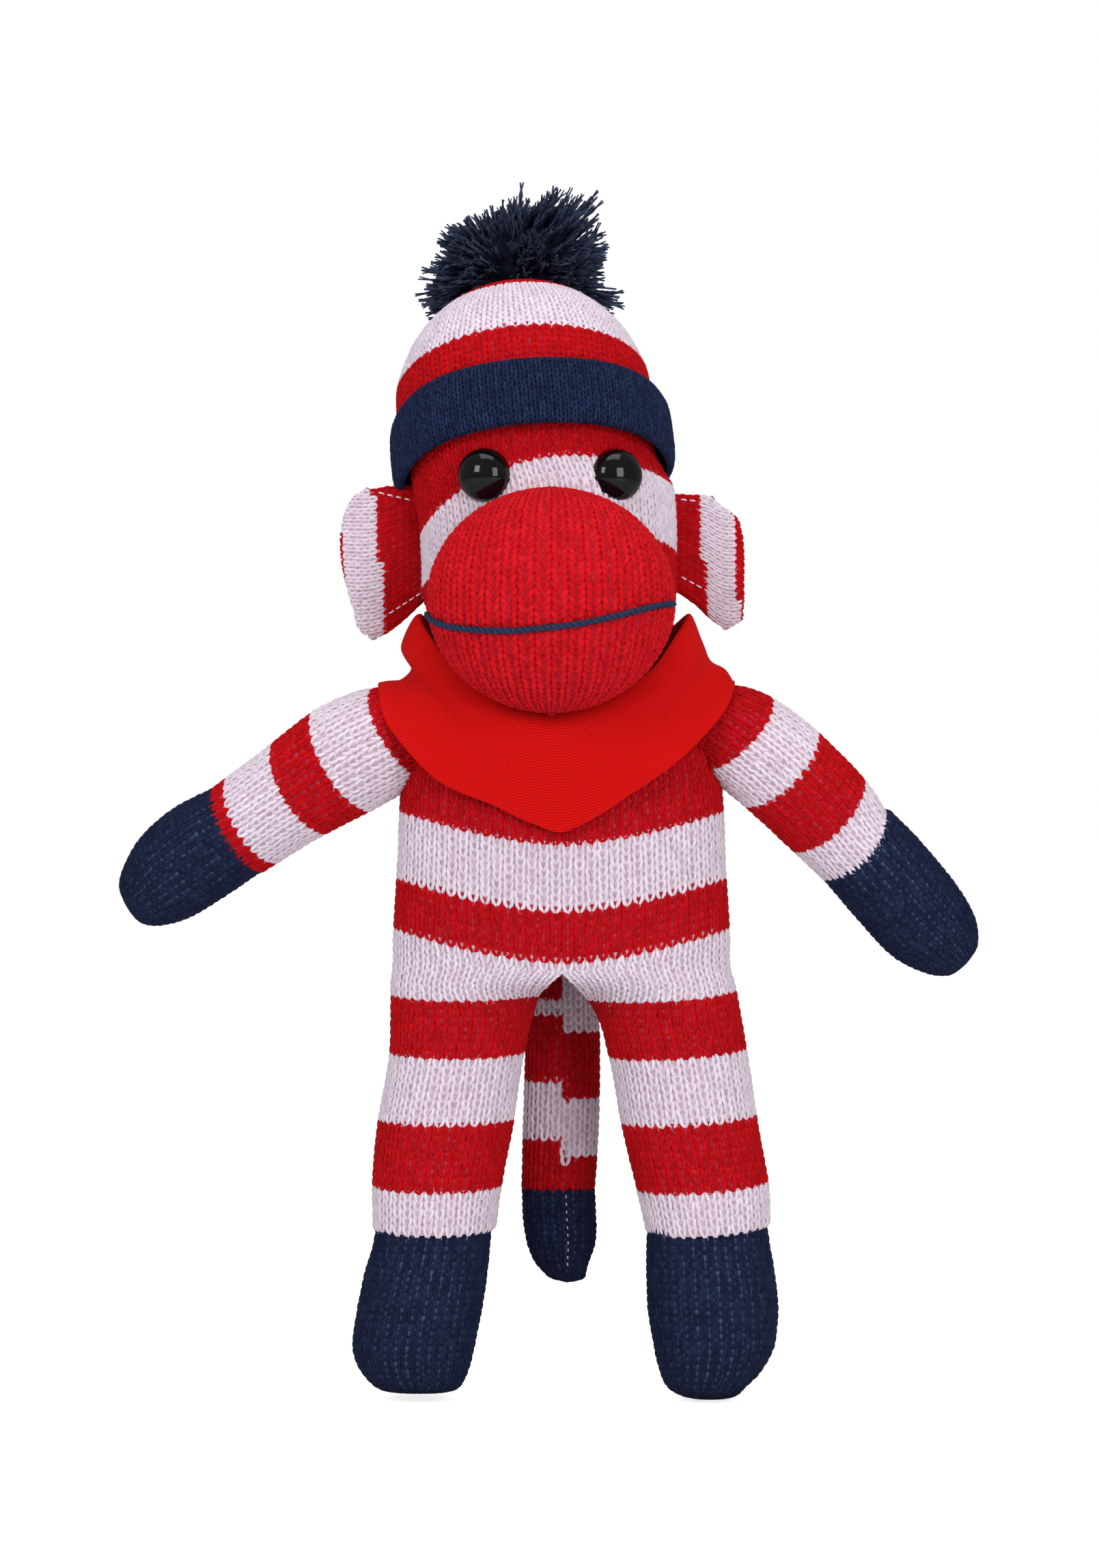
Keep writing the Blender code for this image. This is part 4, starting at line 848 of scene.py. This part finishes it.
bow = chance.normal(0, 0.20, (POMPOM_STRANDS, 1, 3))
paths = aim[:, None] * (share * long[:, None, None])
paths = paths + bow * ((share - POMPOM_ROOT) * (1.35 - share)) + bow[..., ::-1] * (share - POMPOM_ROOT) ** 2
paths = POMPOM_AT + paths * POMPOM_HALF
strand_half = chance.uniform(0.8, 1.15, POMPOM_STRANDS)[:, None] * STRAND_HALF
strands, tones = [], []
for ply in plied(paths, 0.88 * MM, 6.5 * MM, chance.uniform(0, 6, POMPOM_STRANDS), STRAND_SPLAY):
    strands.append(tubes(ply, strand_half, 4))
    tone_with_painted_light = chance.uniform(0, 0.3, POMPOM_STRANDS)[:, None] + STRAND_PAINTED_LIGHT
    tones.append(np.repeat(tone_with_painted_light.ravel(), 4))
up, turn = np.linspace(-math.pi / 2, math.pi / 2, 25), np.linspace(0, 2 * math.pi, 49)
up, turn = np.meshgrid(up, turn, indexing="ij")
core = np.stack([np.cos(up) * np.cos(turn), np.cos(up) * np.sin(turn), np.sin(up)], -1) * 0.62
core = core.reshape(-1, 3)
strands.append((POMPOM_AT + core * POMPOM_HALF, cell_quads(np.arange(len(core)).reshape(up.shape))))
# painted shade: the core inside the tufts takes a tone below the darkest stop
tones.append(np.full(len(core), -0.3))
points, quads = joined(strands)
pompom_uv = chance.uniform(0, 1, (len(points), 2)) * 0.2
pompom = new_mesh("pompom_strands", points, quads, 0, [POMPOM], pompom_uv, np.concatenate(tones))
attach(pompom, "head")
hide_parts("pompom")

# Legs: each leg of the sock is cut and sewn up the inside, so the body's last white stripe
# runs on into both legs. The top of the cover stays with the body.
LEGS = {
    "left": (
        (38.4, 35.7, -2.0, 14.2, 14.8), (45.0, 34.9, -1.2, 14.9, 14.9), (61.2, 31.7, -0.4, 15.5, 14.6),
        (76.7, 29.1, 0.0, 15.8, 14.8), (86.0, 26.9, 0.0, 16.4, 15.6), (91.5, 24.6, 0.0, 17.7, 16.8),
        (93.5, 23.3, 0.0, 18.5, 17.4), (95.5, 22.1, 0.0, 19.1, 18.2),
        (104.0, BX + 19.0, 0, 19.0, 19.2),
    ),
    "right": (
        (38.4, -25.6, -2.0, 14.0, 14.8), (48.0, -25.0, -1.2, 14.7, 14.9),
        (61.2, -23.2, -0.4, 15.4, 14.6), (77.4, -20.6, 0.0, 15.3, 14.8),
        (86.0, -19.4, 0.0, 16.2, 15.6), (91.5, -18.4, 0.0, 17.2, 16.8), (93.5, -17.3, 0.0, 18.3, 17.4),
        (95.5, -16.2, 0.0, 19.1, 18.2), (104.0, BX - 19.0, 0, 19.0, 19.2),
    ),
}
LEG_TILT = {"left": 0.07, "right": 0.0}
FORK = 89.8  # height of the last change of stripes


def leg_skin(side, sign):
    """A leg cut from its half of the body's tube and closed by a seam up its inner side. The
    seam opens at the top, where the cover's two edges meet those of the other leg."""
    table = np.array(LEGS[side]) * MM
    half_round = np.linspace(0.5, 1, SKIN_COLUMNS) - (0.5 if sign < 0 else 0)
    top = on_grid(torso_skin[0], half_round, np.zeros(SKIN_COLUMNS))
    cx, cy = evenly_round(*oval(np.linspace(0, 2 * math.pi, 721) + (math.pi if sign > 0 else 0), 2.2))
    heights = np.linspace(table[0, 0], HIP_SEAM * MM, SKIN_ROWS)
    grid = np.empty((SKIN_ROWS, SKIN_COLUMNS, 3))
    for k, height in enumerate(heights):
        sag = min(1, max(0, (height - FORK * MM) / ((HIP_SEAM - FORK) * MM)))
        z = height + sag * (top[:, 2] - HIP_SEAM * MM)
        z = z + (1 - sag) * (LEG_TILT[side] * 15 * MM * cx - 1.0 * MM * np.maximum(0, -cy) ** 1.6)
        x, y, w, d = (through(table[:, 0], table[:, n : n + 1], z)[:, 0] for n in (1, 2, 3, 4))
        opened = np.clip((z - 85 * MM) / (10 * MM), 0, 1)
        opened = opened**2 * (3 - 2 * opened)
        wide = x + w * (top[:, 0] - (top[:, 0].max() + top[:, 0].min()) / 2) / (np.ptp(top[:, 0]) / 2)
        grid[k, :, 0] = (x + w * cx) * (1 - opened) + wide * opened
        grid[k, :, 1] = (y + d * cy) * (1 - opened) + top[:, 1] * opened
        grid[k, :, 2] = z
    return grid, heights[-1] - heights[0], heights


for side, sign in SIDES:
    leg = knit(
        f"leg_cover_{side}", leg_skin(side, sign), WALE, COURSE, **STRIPES,
        stripe=banded((47.5, 63.4, 77.4, FORK), 1), closed=False, seed=11 + sign, columns=TORSO_COLUMNS // 2,
    )
    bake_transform(leg)
    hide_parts(f"leg_{side}")

# Feet: navy knit sewn on at the ankle and stuffed, with a soft squared toe. Its rows draw in
# under the sole.
FEET = {
    "left": (
        (0.25, 36.0, -4.5, 0.3, 0.5), (0.4, 36.0, -4.5, 3.0, 6.0), (1.1, 35.8, -4.5, 6.4, 10.5),
        (3.0, 35.3, -4.5, 9.0, 14.0), (6.5, 36.2, -4.5, 11.5, 15.8), (12, 37.0, -4.3, 13.6, 16.2),
        (20, 36.8, -3.6, 14.7, 15.9), (28, 36.3, -2.7, 14.5, 15.0), (34, 35.8, -2.1, 14.0, 14.3),
        (38.6, 35.6, -1.9, 13.5, 13.8),
    ),
    "right": (
        (1.45, -28.9, -4.5, 0.3, 0.5), (1.6, -28.9, -4.5, 3.0, 4.0), (1.8, -28.9, -4.5, 5.5, 7.0),
        (2.5, -29.1, -4.5, 8.9, 11.5), (4.8, -29.7, -4.5, 11.2, 14.6), (8.5, -30.2, -4.4, 13.0, 16.0),
        (13, -30.1, -4.2, 13.9, 16.2), (20, -28.9, -3.6, 14.1, 15.9), (28, -27.5, -2.7, 13.9, 15.0),
        (34, -26.3, -2.1, 13.3, 14.3), (38.6, -25.7, -1.9, 13.0, 13.8),
    ),
}
for side, sign in SIDES:
    foot = knit(f"foot_cover_{side}", stuffed(FEET[side], power=2.5), 2.5, 1.75, **PLAIN_NAVY, seed=21)
    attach(foot, f"leg_{side}")
    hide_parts(f"foot_{side}")

# Tail: a strip rolled into a slim tube and seamed down the front, where its stripes miss
# each other by two courses. It hangs from the back and ends in a navy tip.
TAIL_X, TAIL_Y = 2.4, 23.5
TAIL = (
    (45.6, 2.2, TAIL_Y, 8.5, 8.0), (60, 2.8, TAIL_Y, 8.8, 7.9), (80, 3.2, TAIL_Y, 8.6, 7.7),
    (100, 2.8, TAIL_Y, 8.1, 7.8), (108, TAIL_X, TAIL_Y, 7.2, 7.2), (112.6, TAIL_X, TAIL_Y, 5.4, 5.4),
    (115, TAIL_X, TAIL_Y, 2.8, 2.8), (115.8, TAIL_X, TAIL_Y, 0.5, 0.5),
)
TAIL_SEAM, TAIL_SHIFT = 3.7, 5.7
TAIL_PATCH = (88.2, 95)  # where the seam's edge turns in and shows red


def tail_stripe(height, places):
    """Stripes that climb once round the tube, with the patch beside the seam."""
    turn = np.arctan2(places[:, 0] - TAIL_SEAM * MM, -(places[:, 1] - TAIL_Y * MM)) / (2 * math.pi)
    band = banded((52.1, 65.3, 80.4, 93.7, 108))(height - TAIL_SHIFT * MM * (turn % 1), places)
    patch = (height > TAIL_PATCH[0] * MM) & (height < TAIL_PATCH[1] * MM) & (turn > -0.25) & (turn < 0)
    return np.where(patch, 0, band)


tail = knit("tail_cover", stuffed(TAIL), 2.6, COURSE, **STRIPES, stripe=tail_stripe, seed=31)
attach(tail, "tail")
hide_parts("tail")

TAIL_TIP = (
    (24.1, 4.7, TAIL_Y, 0.8, 0.8), (25.0, 4.3, TAIL_Y, 3.9, 3.6), (26.6, 3.6, TAIL_Y, 5.1, 4.9),
    (28.9, 3.0, TAIL_Y, 6.4, 6.2), (32.2, 2.9, TAIL_Y, 7.7, 7.2), (35.7, 2.7, TAIL_Y, 8.3, 7.7),
    (40.5, 2.4, TAIL_Y, 8.5, 8.0), (45.8, 2.2, TAIL_Y, 8.4, 7.9),
)
tip_skin = stuffed(TAIL_TIP)
tip = knit("tail_tip_cover", tip_skin, 2.3, 1.6, **PLAIN_NAVY, seed=33)
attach(tip, "tail")
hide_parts("tail_tip")

# Tail seam: the white thread that closes the tip. It shows as a row of short stitches down
# the front.
spots = [(np.full(5, 0.532), 0.28 + 0.07 * (k + np.linspace(0.1, 0.5, 5))) for k in range(10)]
seam = short_stitches("tail_seam_stitches", tip_skin[0], spots, (-0.5, 0.08, 0.18, 0.08, -0.5), 0.15, 0.4)
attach(seam, "tail")

# Arms: striped sleeves sewn into the sides of the body, with navy hands. They hang at
# unlike angles, and their stripes sag towards the hand in front.
ARM_DROP = {"left": 43.8, "right": 30.3}
SLEEVES = {
    "left": (
        (-37.8, 1.9, 0, 10.5, 10.9), (-28, 2.9, 0, 11.6, 11.5), (-13, 2.9, 0, 11.9, 12.0),
        (-3, 1.9, 0, 11.8, 12.2), (4, 0.8, 0, 10.6, 11.0), (9, 0.2, 0, 7.5, 7.5),
    ),
    "right": (
        (-41.0, 0.3, 0, 11.2, 10.9), (-26, -0.7, 0, 11.9, 11.6), (-13, -1.2, 0, 13.1, 12.4),
        (-3, -0.7, 0, 12.7, 12.4), (4, 0.0, 0, 10.8, 11.2), (9, 0.0, 0, 7.5, 7.5),
    ),
}
HANDS = {
    "left": (
        (-73.8, 0.0, 0, 1.0, 1.0), (-72.6, 0.2, 0, 5.0, 5.0), (-68, 0.5, 0, 8.6, 8.8),
        (-60, 0.6, 0, 10.9, 10.9), (-48, 1.7, 0, 11.3, 11.2), (-37.4, 2.4, 0, 10.9, 10.6),
    ),
    "right": (
        (-71.2, 2.6, 0, 1.0, 1.0), (-70.2, 2.5, 0, 5.0, 5.0), (-66.5, 2.1, 0, 8.2, 8.6),
        (-60, 1.2, 0, 10.8, 10.9), (-51, 0.3, 0, 11.6, 11.5), (-40.6, 0.2, 0, 11.0, 10.8),
    ),
}
SLEEVE_STRIPES = {"left": banded((-28.8, -14.5, -1.0), 1), "right": banded((-36.7, -25.4, -13.6, 0.2))}
for side, sign in SIDES:
    hang = Matrix.Rotation(math.radians(-sign * (90 - ARM_DROP[side])), 4, "Y")
    place = Matrix.Translation(shoulders[side]) @ hang
    skin = stuffed(SLEEVES[side], dip=3.6 * MM, warp=moved(place))
    sleeve = knit(
        f"arm_cover_{side}", skin, WALE, COURSE, **STRIPES, stripe=SLEEVE_STRIPES[side], seed=41 + sign
    )
    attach(sleeve, f"arm_{side}")
    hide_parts(f"arm_{side}")
    skin = stuffed(HANDS[side], dip=3.0 * MM, warp=moved(place))
    hand = knit(f"hand_cover_{side}", skin, 2.4, 1.6, **PLAIN_NAVY, seed=51 + sign)
    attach(hand, f"arm_{side}")
    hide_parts(f"hand_{side}")

# Bandana: a triangle of fine red jersey, folded once at the neck, laid over the chest and
# shoulders and tied behind. Its fine ribs follow the drape.
WALE_FINE, COURSE_FINE = 0.50, 0.62  # mm between the jersey's columns and rows
JERSEY_WITH_PAINTED_RIB_SHADE, nodes, link, shader = new_material("jersey")
cloth = add(nodes, "UVMap", uv_map="strand")
waves = []
for along, down in ((1 / WALE_FINE, 0.5 / COURSE_FINE), (0, 1 / COURSE_FINE)):
    spacing = (2 * math.pi * along / MM, 2 * math.pi * down / MM, 0)
    slant = add(nodes, "VectorMath", {1: spacing}, operation="DOT_PRODUCT")
    link(cloth.outputs["UV"], slant.inputs[0])
    waves.append(add(nodes, "Math", operation="SINE"))
    link(slant.outputs["Value"], waves[-1].inputs[0])
loops = add(nodes, "Math", {1: 0.55}, operation="MULTIPLY_ADD")
link(waves[0].outputs["Value"], loops.inputs[0])
link(waves[1].outputs["Value"], loops.inputs[2])
half = add(nodes, "Math", {1: 0.32, 2: 0.5}, operation="MULTIPLY_ADD")
link(loops.outputs["Value"], half.inputs[0])
# painted shade: the cloth's red darkens in the valleys between the ribs and lightens on them, in step with
# their relief
ramp = add_ramp(nodes, (0.0, (0.34, 0.0010, 0.0011)), (1.0, (0.77, 0.0048, 0.0046)))
link(half.outputs["Value"], ramp.inputs["Fac"])
link(ramp.outputs["Color"], shader.inputs["Base Color"])
add_relief(nodes, link, shader, half.outputs["Value"], 0.6, 0.12 * MM)
put(shader, {"Roughness": 0.9, "Specular IOR Level": 0.1})
put(shader, {"Sheen Weight": 0.04, "Sheen Tint": (0.9, 0.05, 0.03, 1)})

# Each row goes round the neck from behind, by the doll's right, the front and its left. Rows
# run from inside the collar, over its fold, down to the cut edge.
AROUND = (-180, -135, -90, -65, -45, -25, -8, 0, 8, 25, 45, 65, 90, 135, 180)
FOLDS = (
    (
        (2.9, 17.6, 158.5), (-18.5, 15, 157), (-26.5, -1.5, 153.6), (-24, -9.5, 153.2),
        (-18, -12.5, 153), (-9, -14.5, 153), (-1.6, -14.8, 153), (2, -15, 153), (5.2, -14.8, 153),
        (12, -14.5, 153), (20, -12.5, 153), (26, -9.5, 153.2), (29, -1.5, 153.6), (21, 15, 157),
        (2.9, 17.6, 158.5),
    ),
    (
        (2.9, 19.8, 163.4), (-20, 17, 169.8), (-28.4, -1, 175.6), (-26.6, -9, 171.4), (-20, -15, 163),
        (-10, -18, 157.5), (-2, -18.5, 156.2), (2, -18.5, 156), (5.8, -18.4, 156.4), (13.5, -18, 158),
        (22.5, -15, 163), (28.6, -9, 171.4), (31.0, -1, 175.6), (22.4, 17, 169.8), (2.9, 19.8, 163.4),
    ),
    (
        (2.9, 21.6, 161.0), (-24.6, 18.8, 165.2), (-33.2, -1, 168.5), (-29.6, -12, 164.5),
        (-22, -18.5, 158), (-11, -22, 153), (-2.1, -22.9, 151.3), (2.3, -23, 151), (6.5, -22.8, 151.6),
        (15, -22, 154), (25, -18.5, 159), (32.4, -12, 166), (34.6, -1, 169.5), (27, 18.8, 165.2),
        (2.9, 21.6, 161.0),
    ),
    (
        (2.9, 21.9, 157.8), (-25, 18.6, 160.6), (-30.6, -2, 163.4), (-27.6, -13, 158.5),
        (-20, -19, 151.5), (-10, -22, 146), (-1.8, -22.5, 144.3), (2.4, -22.5, 144), (6.4, -22.4, 144.7),
        (14.5, -22, 147), (25, -19, 152.5), (33, -12.5, 160.5), (36.3, -2, 165.2), (28.5, 18.6, 160.6),
        (2.9, 21.9, 157.8),
    ),
    (
        (2.9, 21.6, 155.0), (-27, 18.5, 156.4), (-34.6, -4, 159.6), (-31.5, -13.5, 153.6),
        (-22.4, -19.5, 145.0), (-11.5, -22, 139.2), (-2.2, -22.4, 136.2), (2.4, -22.5, 135.4),
        (7.0, -22.4, 136.4), (16, -22, 140.3), (26.6, -19.5, 147.3), (35.5, -12.5, 156.5),
        (39.5, -4, 163.2), (31.5, 18.5, 156.4), (2.9, 21.6, 155.0),
    ),
    (
        (2.9, 21.2, 152.6), (-29, 18.5, 152.5), (-37.8, -7, 157.4), (-34.8, -14, 149.2),
        (-24.6, -19.5, 138.4), (-12.2, -21.7, 132.9), (-3.2, -22.1, 128.7), (2.6, -22.2, 126.9),
        (8.0, -22.1, 129.0), (16.8, -21.6, 134.4), (28.6, -19.5, 142.6), (38.0, -13, 152.2),
        (41.6, -7, 159.7), (34, 18.5, 152.5), (2.9, 21.2, 152.6),
    ),
)
ROWS, COLUMNS = 91, 361
CLOTH, CLOTH_GAP = 0.8 * MM, 0.5 * MM
around = np.linspace(-180, 180, COLUMNS)
wide = np.stack([through(AROUND, np.array(ring) * MM, around) for ring in FOLDS])
sheet = np.empty((ROWS, COLUMNS, 3))
for column in range(COLUMNS):
    cut = through(np.arange(len(wide)), wide[:, column], np.linspace(0, len(wide) - 1, 200))
    run = running(cut)
    at = np.linspace(0, run[-1], ROWS)
    sheet[:, column] = np.stack([np.interp(at, run, cut[:, axis]) for axis in range(3)], 1)


def clear_of_body(points, gap, power=2.4):
    """Push places out of the torso and the roots of the arms."""
    table = np.array(TORSO, float) * MM
    x, y, w, d = (np.interp(points[:, 2], table[:, 0], table[:, n]) for n in (1, 2, 3, 4))
    off_x, off_y = np.abs(points[:, 0] - x) / (w + gap), np.abs(points[:, 1] - y) / (d + gap)
    reach = (off_x**power + off_y**power) ** (1 / power)
    inside = (points[:, 2] < table[-1, 0]) & (reach < 1)
    grow = np.where(inside, 1 / np.maximum(reach, 0.05), 1)
    room = np.maximum(0, 1 - off_x**power) ** (1 / power) * (d + gap)
    straight = y + np.where(points[:, 1] < y, -room, room)
    points = np.stack(
        [
            np.where(off_x < 0.92, points[:, 0], x + (points[:, 0] - x) * grow),
            np.where(inside & (off_x < 0.92), straight, y + (points[:, 1] - y) * grow),
            points[:, 2],
        ],
        1,
    )
    need = 11.4 * MM + gap
    for pivot in shoulders.values():
        off = points - np.array(pivot)
        away = np.linalg.norm(off, axis=1)[:, None]
        points = np.where(away < need, np.array(pivot) + off * need / np.maximum(away, 1e-9), points)
    return points


sheet = clear_of_body(sheet.reshape(-1, 3), CLOTH_GAP + CLOTH).reshape(sheet.shape)
for _ in range(3):
    sheet[1:-1] = sheet[1:-1] * 0.5 + (sheet[:-2] + sheet[2:]) * 0.25
normal = unit(np.cross(np.gradient(sheet, axis=0), np.gradient(sheet, axis=1)))
# gathers that run into the knot
gathered = np.clip((np.abs(around) - 128) / 48, 0, 1)
gathered = gathered**2 * (3 - 2 * gathered)
pleat = 0.75 * MM * np.sin(np.linspace(0, 5 * math.pi, ROWS))[:, None] * gathered
sheet = sheet + normal * pleat[..., None]
points = np.concatenate([sheet.reshape(-1, 3), (sheet - normal * CLOTH).reshape(-1, 3)])
cells = np.arange(ROWS * COLUMNS).reshape(ROWS, COLUMNS)
face = cell_quads(cells)[:, (0, 3, 2, 1)]
edges = []
for row in (0, ROWS - 1):
    a, b = cells[row, :-1], cells[row, 1:]
    strip = np.stack([a, b, b + ROWS * COLUMNS, a + ROWS * COLUMNS], -1)
    edges.append(strip if row == 0 else strip[:, ::-1])
quads = np.concatenate([face, face[:, ::-1] + ROWS * COLUMNS, *edges])
along = np.stack([running(row) for row in sheet]).mean(0)
down = np.stack([running(sheet[:, column]) for column in range(COLUMNS)], 1)
cloth_uv = np.stack([np.tile(along, ROWS), down.ravel()], 1)
bandana = new_mesh("bandana_cloth", points, quads, 0, [JERSEY_WITH_PAINTED_RIB_SHADE], np.concatenate([cloth_uv, cloth_uv]))
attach(bandana, "torso")
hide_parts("bandana")

# Knot: the bandana's two ends crossed, wrapped once and pulled tight behind the neck, with
# short tails that hang down.
low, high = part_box("bandana_knot")
KNOT_AT = np.array((low + high) / 2) + np.array((0, 0.6, 0)) * MM


def flat_band(path, width, thick, facing, around=12):
    """A closed flat strip of cloth along a path, with its creases: points, faces and uv."""
    path, width, thick = path * MM, width * MM, thick * MM
    turn = np.arange(around) * 2 * math.pi / around
    tangent = unit(np.gradient(path, axis=0))
    wide_way = unit(np.cross(tangent, facing))
    thick_way = np.cross(wide_way, tangent)
    creases = 1 + 0.22 * np.cos(5 * turn)
    ring = wide_way[:, None] * (width[:, None] * np.cos(turn))[..., None]
    ring = ring + thick_way[:, None] * (thick[:, None] * np.sin(turn) * creases)[..., None]
    points = (path[:, None] + ring).reshape(-1, 3)
    quads = ring_quads(np.arange(len(points)).reshape(len(path), around))
    return points, quads, np.stack([np.repeat(running(path), around), np.outer(width, turn).ravel()], 1)


turn = np.linspace(-0.3, 2 * math.pi + 0.3, 40)
wrap = np.stack([0.5 * np.sin(turn * 0.5), 2.9 * np.cos(turn), 3.7 * np.sin(turn)], 1)
bands = [flat_band(wrap, 2.7 + 0.35 * np.sin(turn * 2), np.full(40, 0.95), wrap * (0, 1, 1) + (1e-6, 0, 0))]
share = np.linspace(0, 1, 24)
along = share[:, None]
for sign in (1, -1):
    hanging = np.array((0, 0.4, 0)) * (1 - along) + np.array((sign * 8.6, 2.2, -7.4)) * along
    hanging = hanging + np.array((sign * 2.2, 1.2, 1.8)) * np.sin(along * math.pi)
    width = 1.5 + 2.3 * np.sin(share * math.pi * 0.62) - 2.9 * np.maximum(0, share - 0.55) ** 1.2 / 0.38
    bands.append(flat_band(hanging, np.maximum(width, 0.25), np.full(24, 0.62), (0, 1.0, 0.2)))
    root = np.array((sign * 6.4, -2.0, 0.2)) * along
    bands.append(flat_band(root, 2.6 + 1.2 * share, 1.5 - 0.5 * share, (0, 1.0, 0)))
points, quads = joined([band[:2] for band in bands])
knot_uv = np.concatenate([band[2] for band in bands])
knot = new_mesh("bandana_tied_knot", points + KNOT_AT, quads, 0, [JERSEY_WITH_PAINTED_RIB_SHADE], knot_uv)
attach(knot, "torso")
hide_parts("bandana_knot")

# Inside pieces keep their CAD shapes: the yarn wound round the neck, the threads that hold the
# arms and the plastic washers behind the eyes.


def inner_finish(name, low, high, scale, roughness):
    """Two tones in clouds with a low relief."""
    made, nodes, link, shader, cloud = clouded(name, low, high, scale, 0.2, roughness)
    add_relief(nodes, link, shader, cloud, 0.3, 0.2 * MM)
    return made


INNER = {
    "neck_tie": inner_finish("neck_yarn", (0.006, 0.012, 0.04), (0.02, 0.034, 0.09), 2500, 0.95),
    "shoulder_thread": inner_finish("white_thread", (0.62, 0.56, 0.62), (0.85, 0.8, 0.86), 3000, 0.9),
    "eye_washer": inner_finish("washer_plastic", (0.66, 0.66, 0.64), (0.78, 0.78, 0.76), 700, 0.45),
}
for node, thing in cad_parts.items():
    for family, material in INNER.items():
        if node.startswith(family):
            thing.data.materials.clear()
            thing.data.materials.append(material)

# Studio: a white floor that keeps the doll's shadow, soft lamps from both sides and the camera
# at the photograph's angle.
bpy.ops.mesh.primitive_plane_add(size=30)
floor = bpy.context.object
floor.name = "floor"
white_floor, nodes, link, shader = new_material("white_floor")
put(shader, {"Base Color": (0.86, 0.86, 0.86, 1), "Roughness": 1, "Specular IOR Level": 0})
put(shader, {"Emission Color": (1, 1, 1, 1)})
ray = add(nodes, "LightPath")
lift = add(nodes, "Math", {1: 0.8}, operation="MULTIPLY")
link(ray.outputs["Is Camera Ray"], lift.inputs[0])
link(lift.outputs["Value"], shader.inputs["Emission Strength"])
floor.data.materials.append(white_floor)

world = bpy.data.worlds.new("studio")
bpy.context.scene.world = world
world.use_nodes = True
nodes, link = world.node_tree.nodes, world.node_tree.links.new
put(nodes["Background"], {"Color": (1, 1, 1, 1)})
ray = add(nodes, "LightPath")
level = add(nodes, "MapRange", {"To Min": 0.38, "To Max": 1.0})
link(ray.outputs["Is Camera Ray"], level.inputs["Value"])
link(level.outputs["Result"], nodes["Background"].inputs["Strength"])


def lamp(name, place, aim, size, power):
    light = bpy.data.lights.new(name, "AREA")
    light.shape = "RECTANGLE"
    light.size, light.size_y = size
    light.energy = power
    thing = bpy.data.objects.new(name, light)
    thing.location = place
    thing.rotation_euler = (Vector(aim) - Vector(place)).to_track_quat("-Z", "Y").to_euler()
    bpy.context.collection.objects.link(thing)


lamp("window_right", (0.55, -1.05, 0.42), (0, 0, 0.15), (0.45, 0.6), 6.2)
lamp("window_left", (-0.75, -0.95, 0.62), (0, 0, 0.15), (0.35, 0.45), 5.2)
lamp("above", (0.0, -0.25, 1.1), (0, 0, 0.1), (0.7, 0.5), 3.6)

CAMERA_AWAY = 1.5
PHOTO_TALL = 0.352  # metres that the photograph spans at the doll
VIEW_MIDDLE = (0.0002, 0.1377)
SENSOR = 36
camera_data = bpy.data.cameras.new("camera")
camera_data.sensor_fit = "VERTICAL"
camera_data.sensor_height = SENSOR
camera_data.lens = SENSOR * CAMERA_AWAY / PHOTO_TALL
camera_data.clip_end = 50
camera = bpy.data.objects.new("camera", camera_data)
camera.location = (VIEW_MIDDLE[0], -CAMERA_AWAY, VIEW_MIDDLE[1])
camera.rotation_euler = (math.radians(90), 0, 0)
bpy.context.collection.objects.link(camera)
bpy.context.scene.camera = camera
bpy.context.scene.view_settings.view_transform = "Standard"
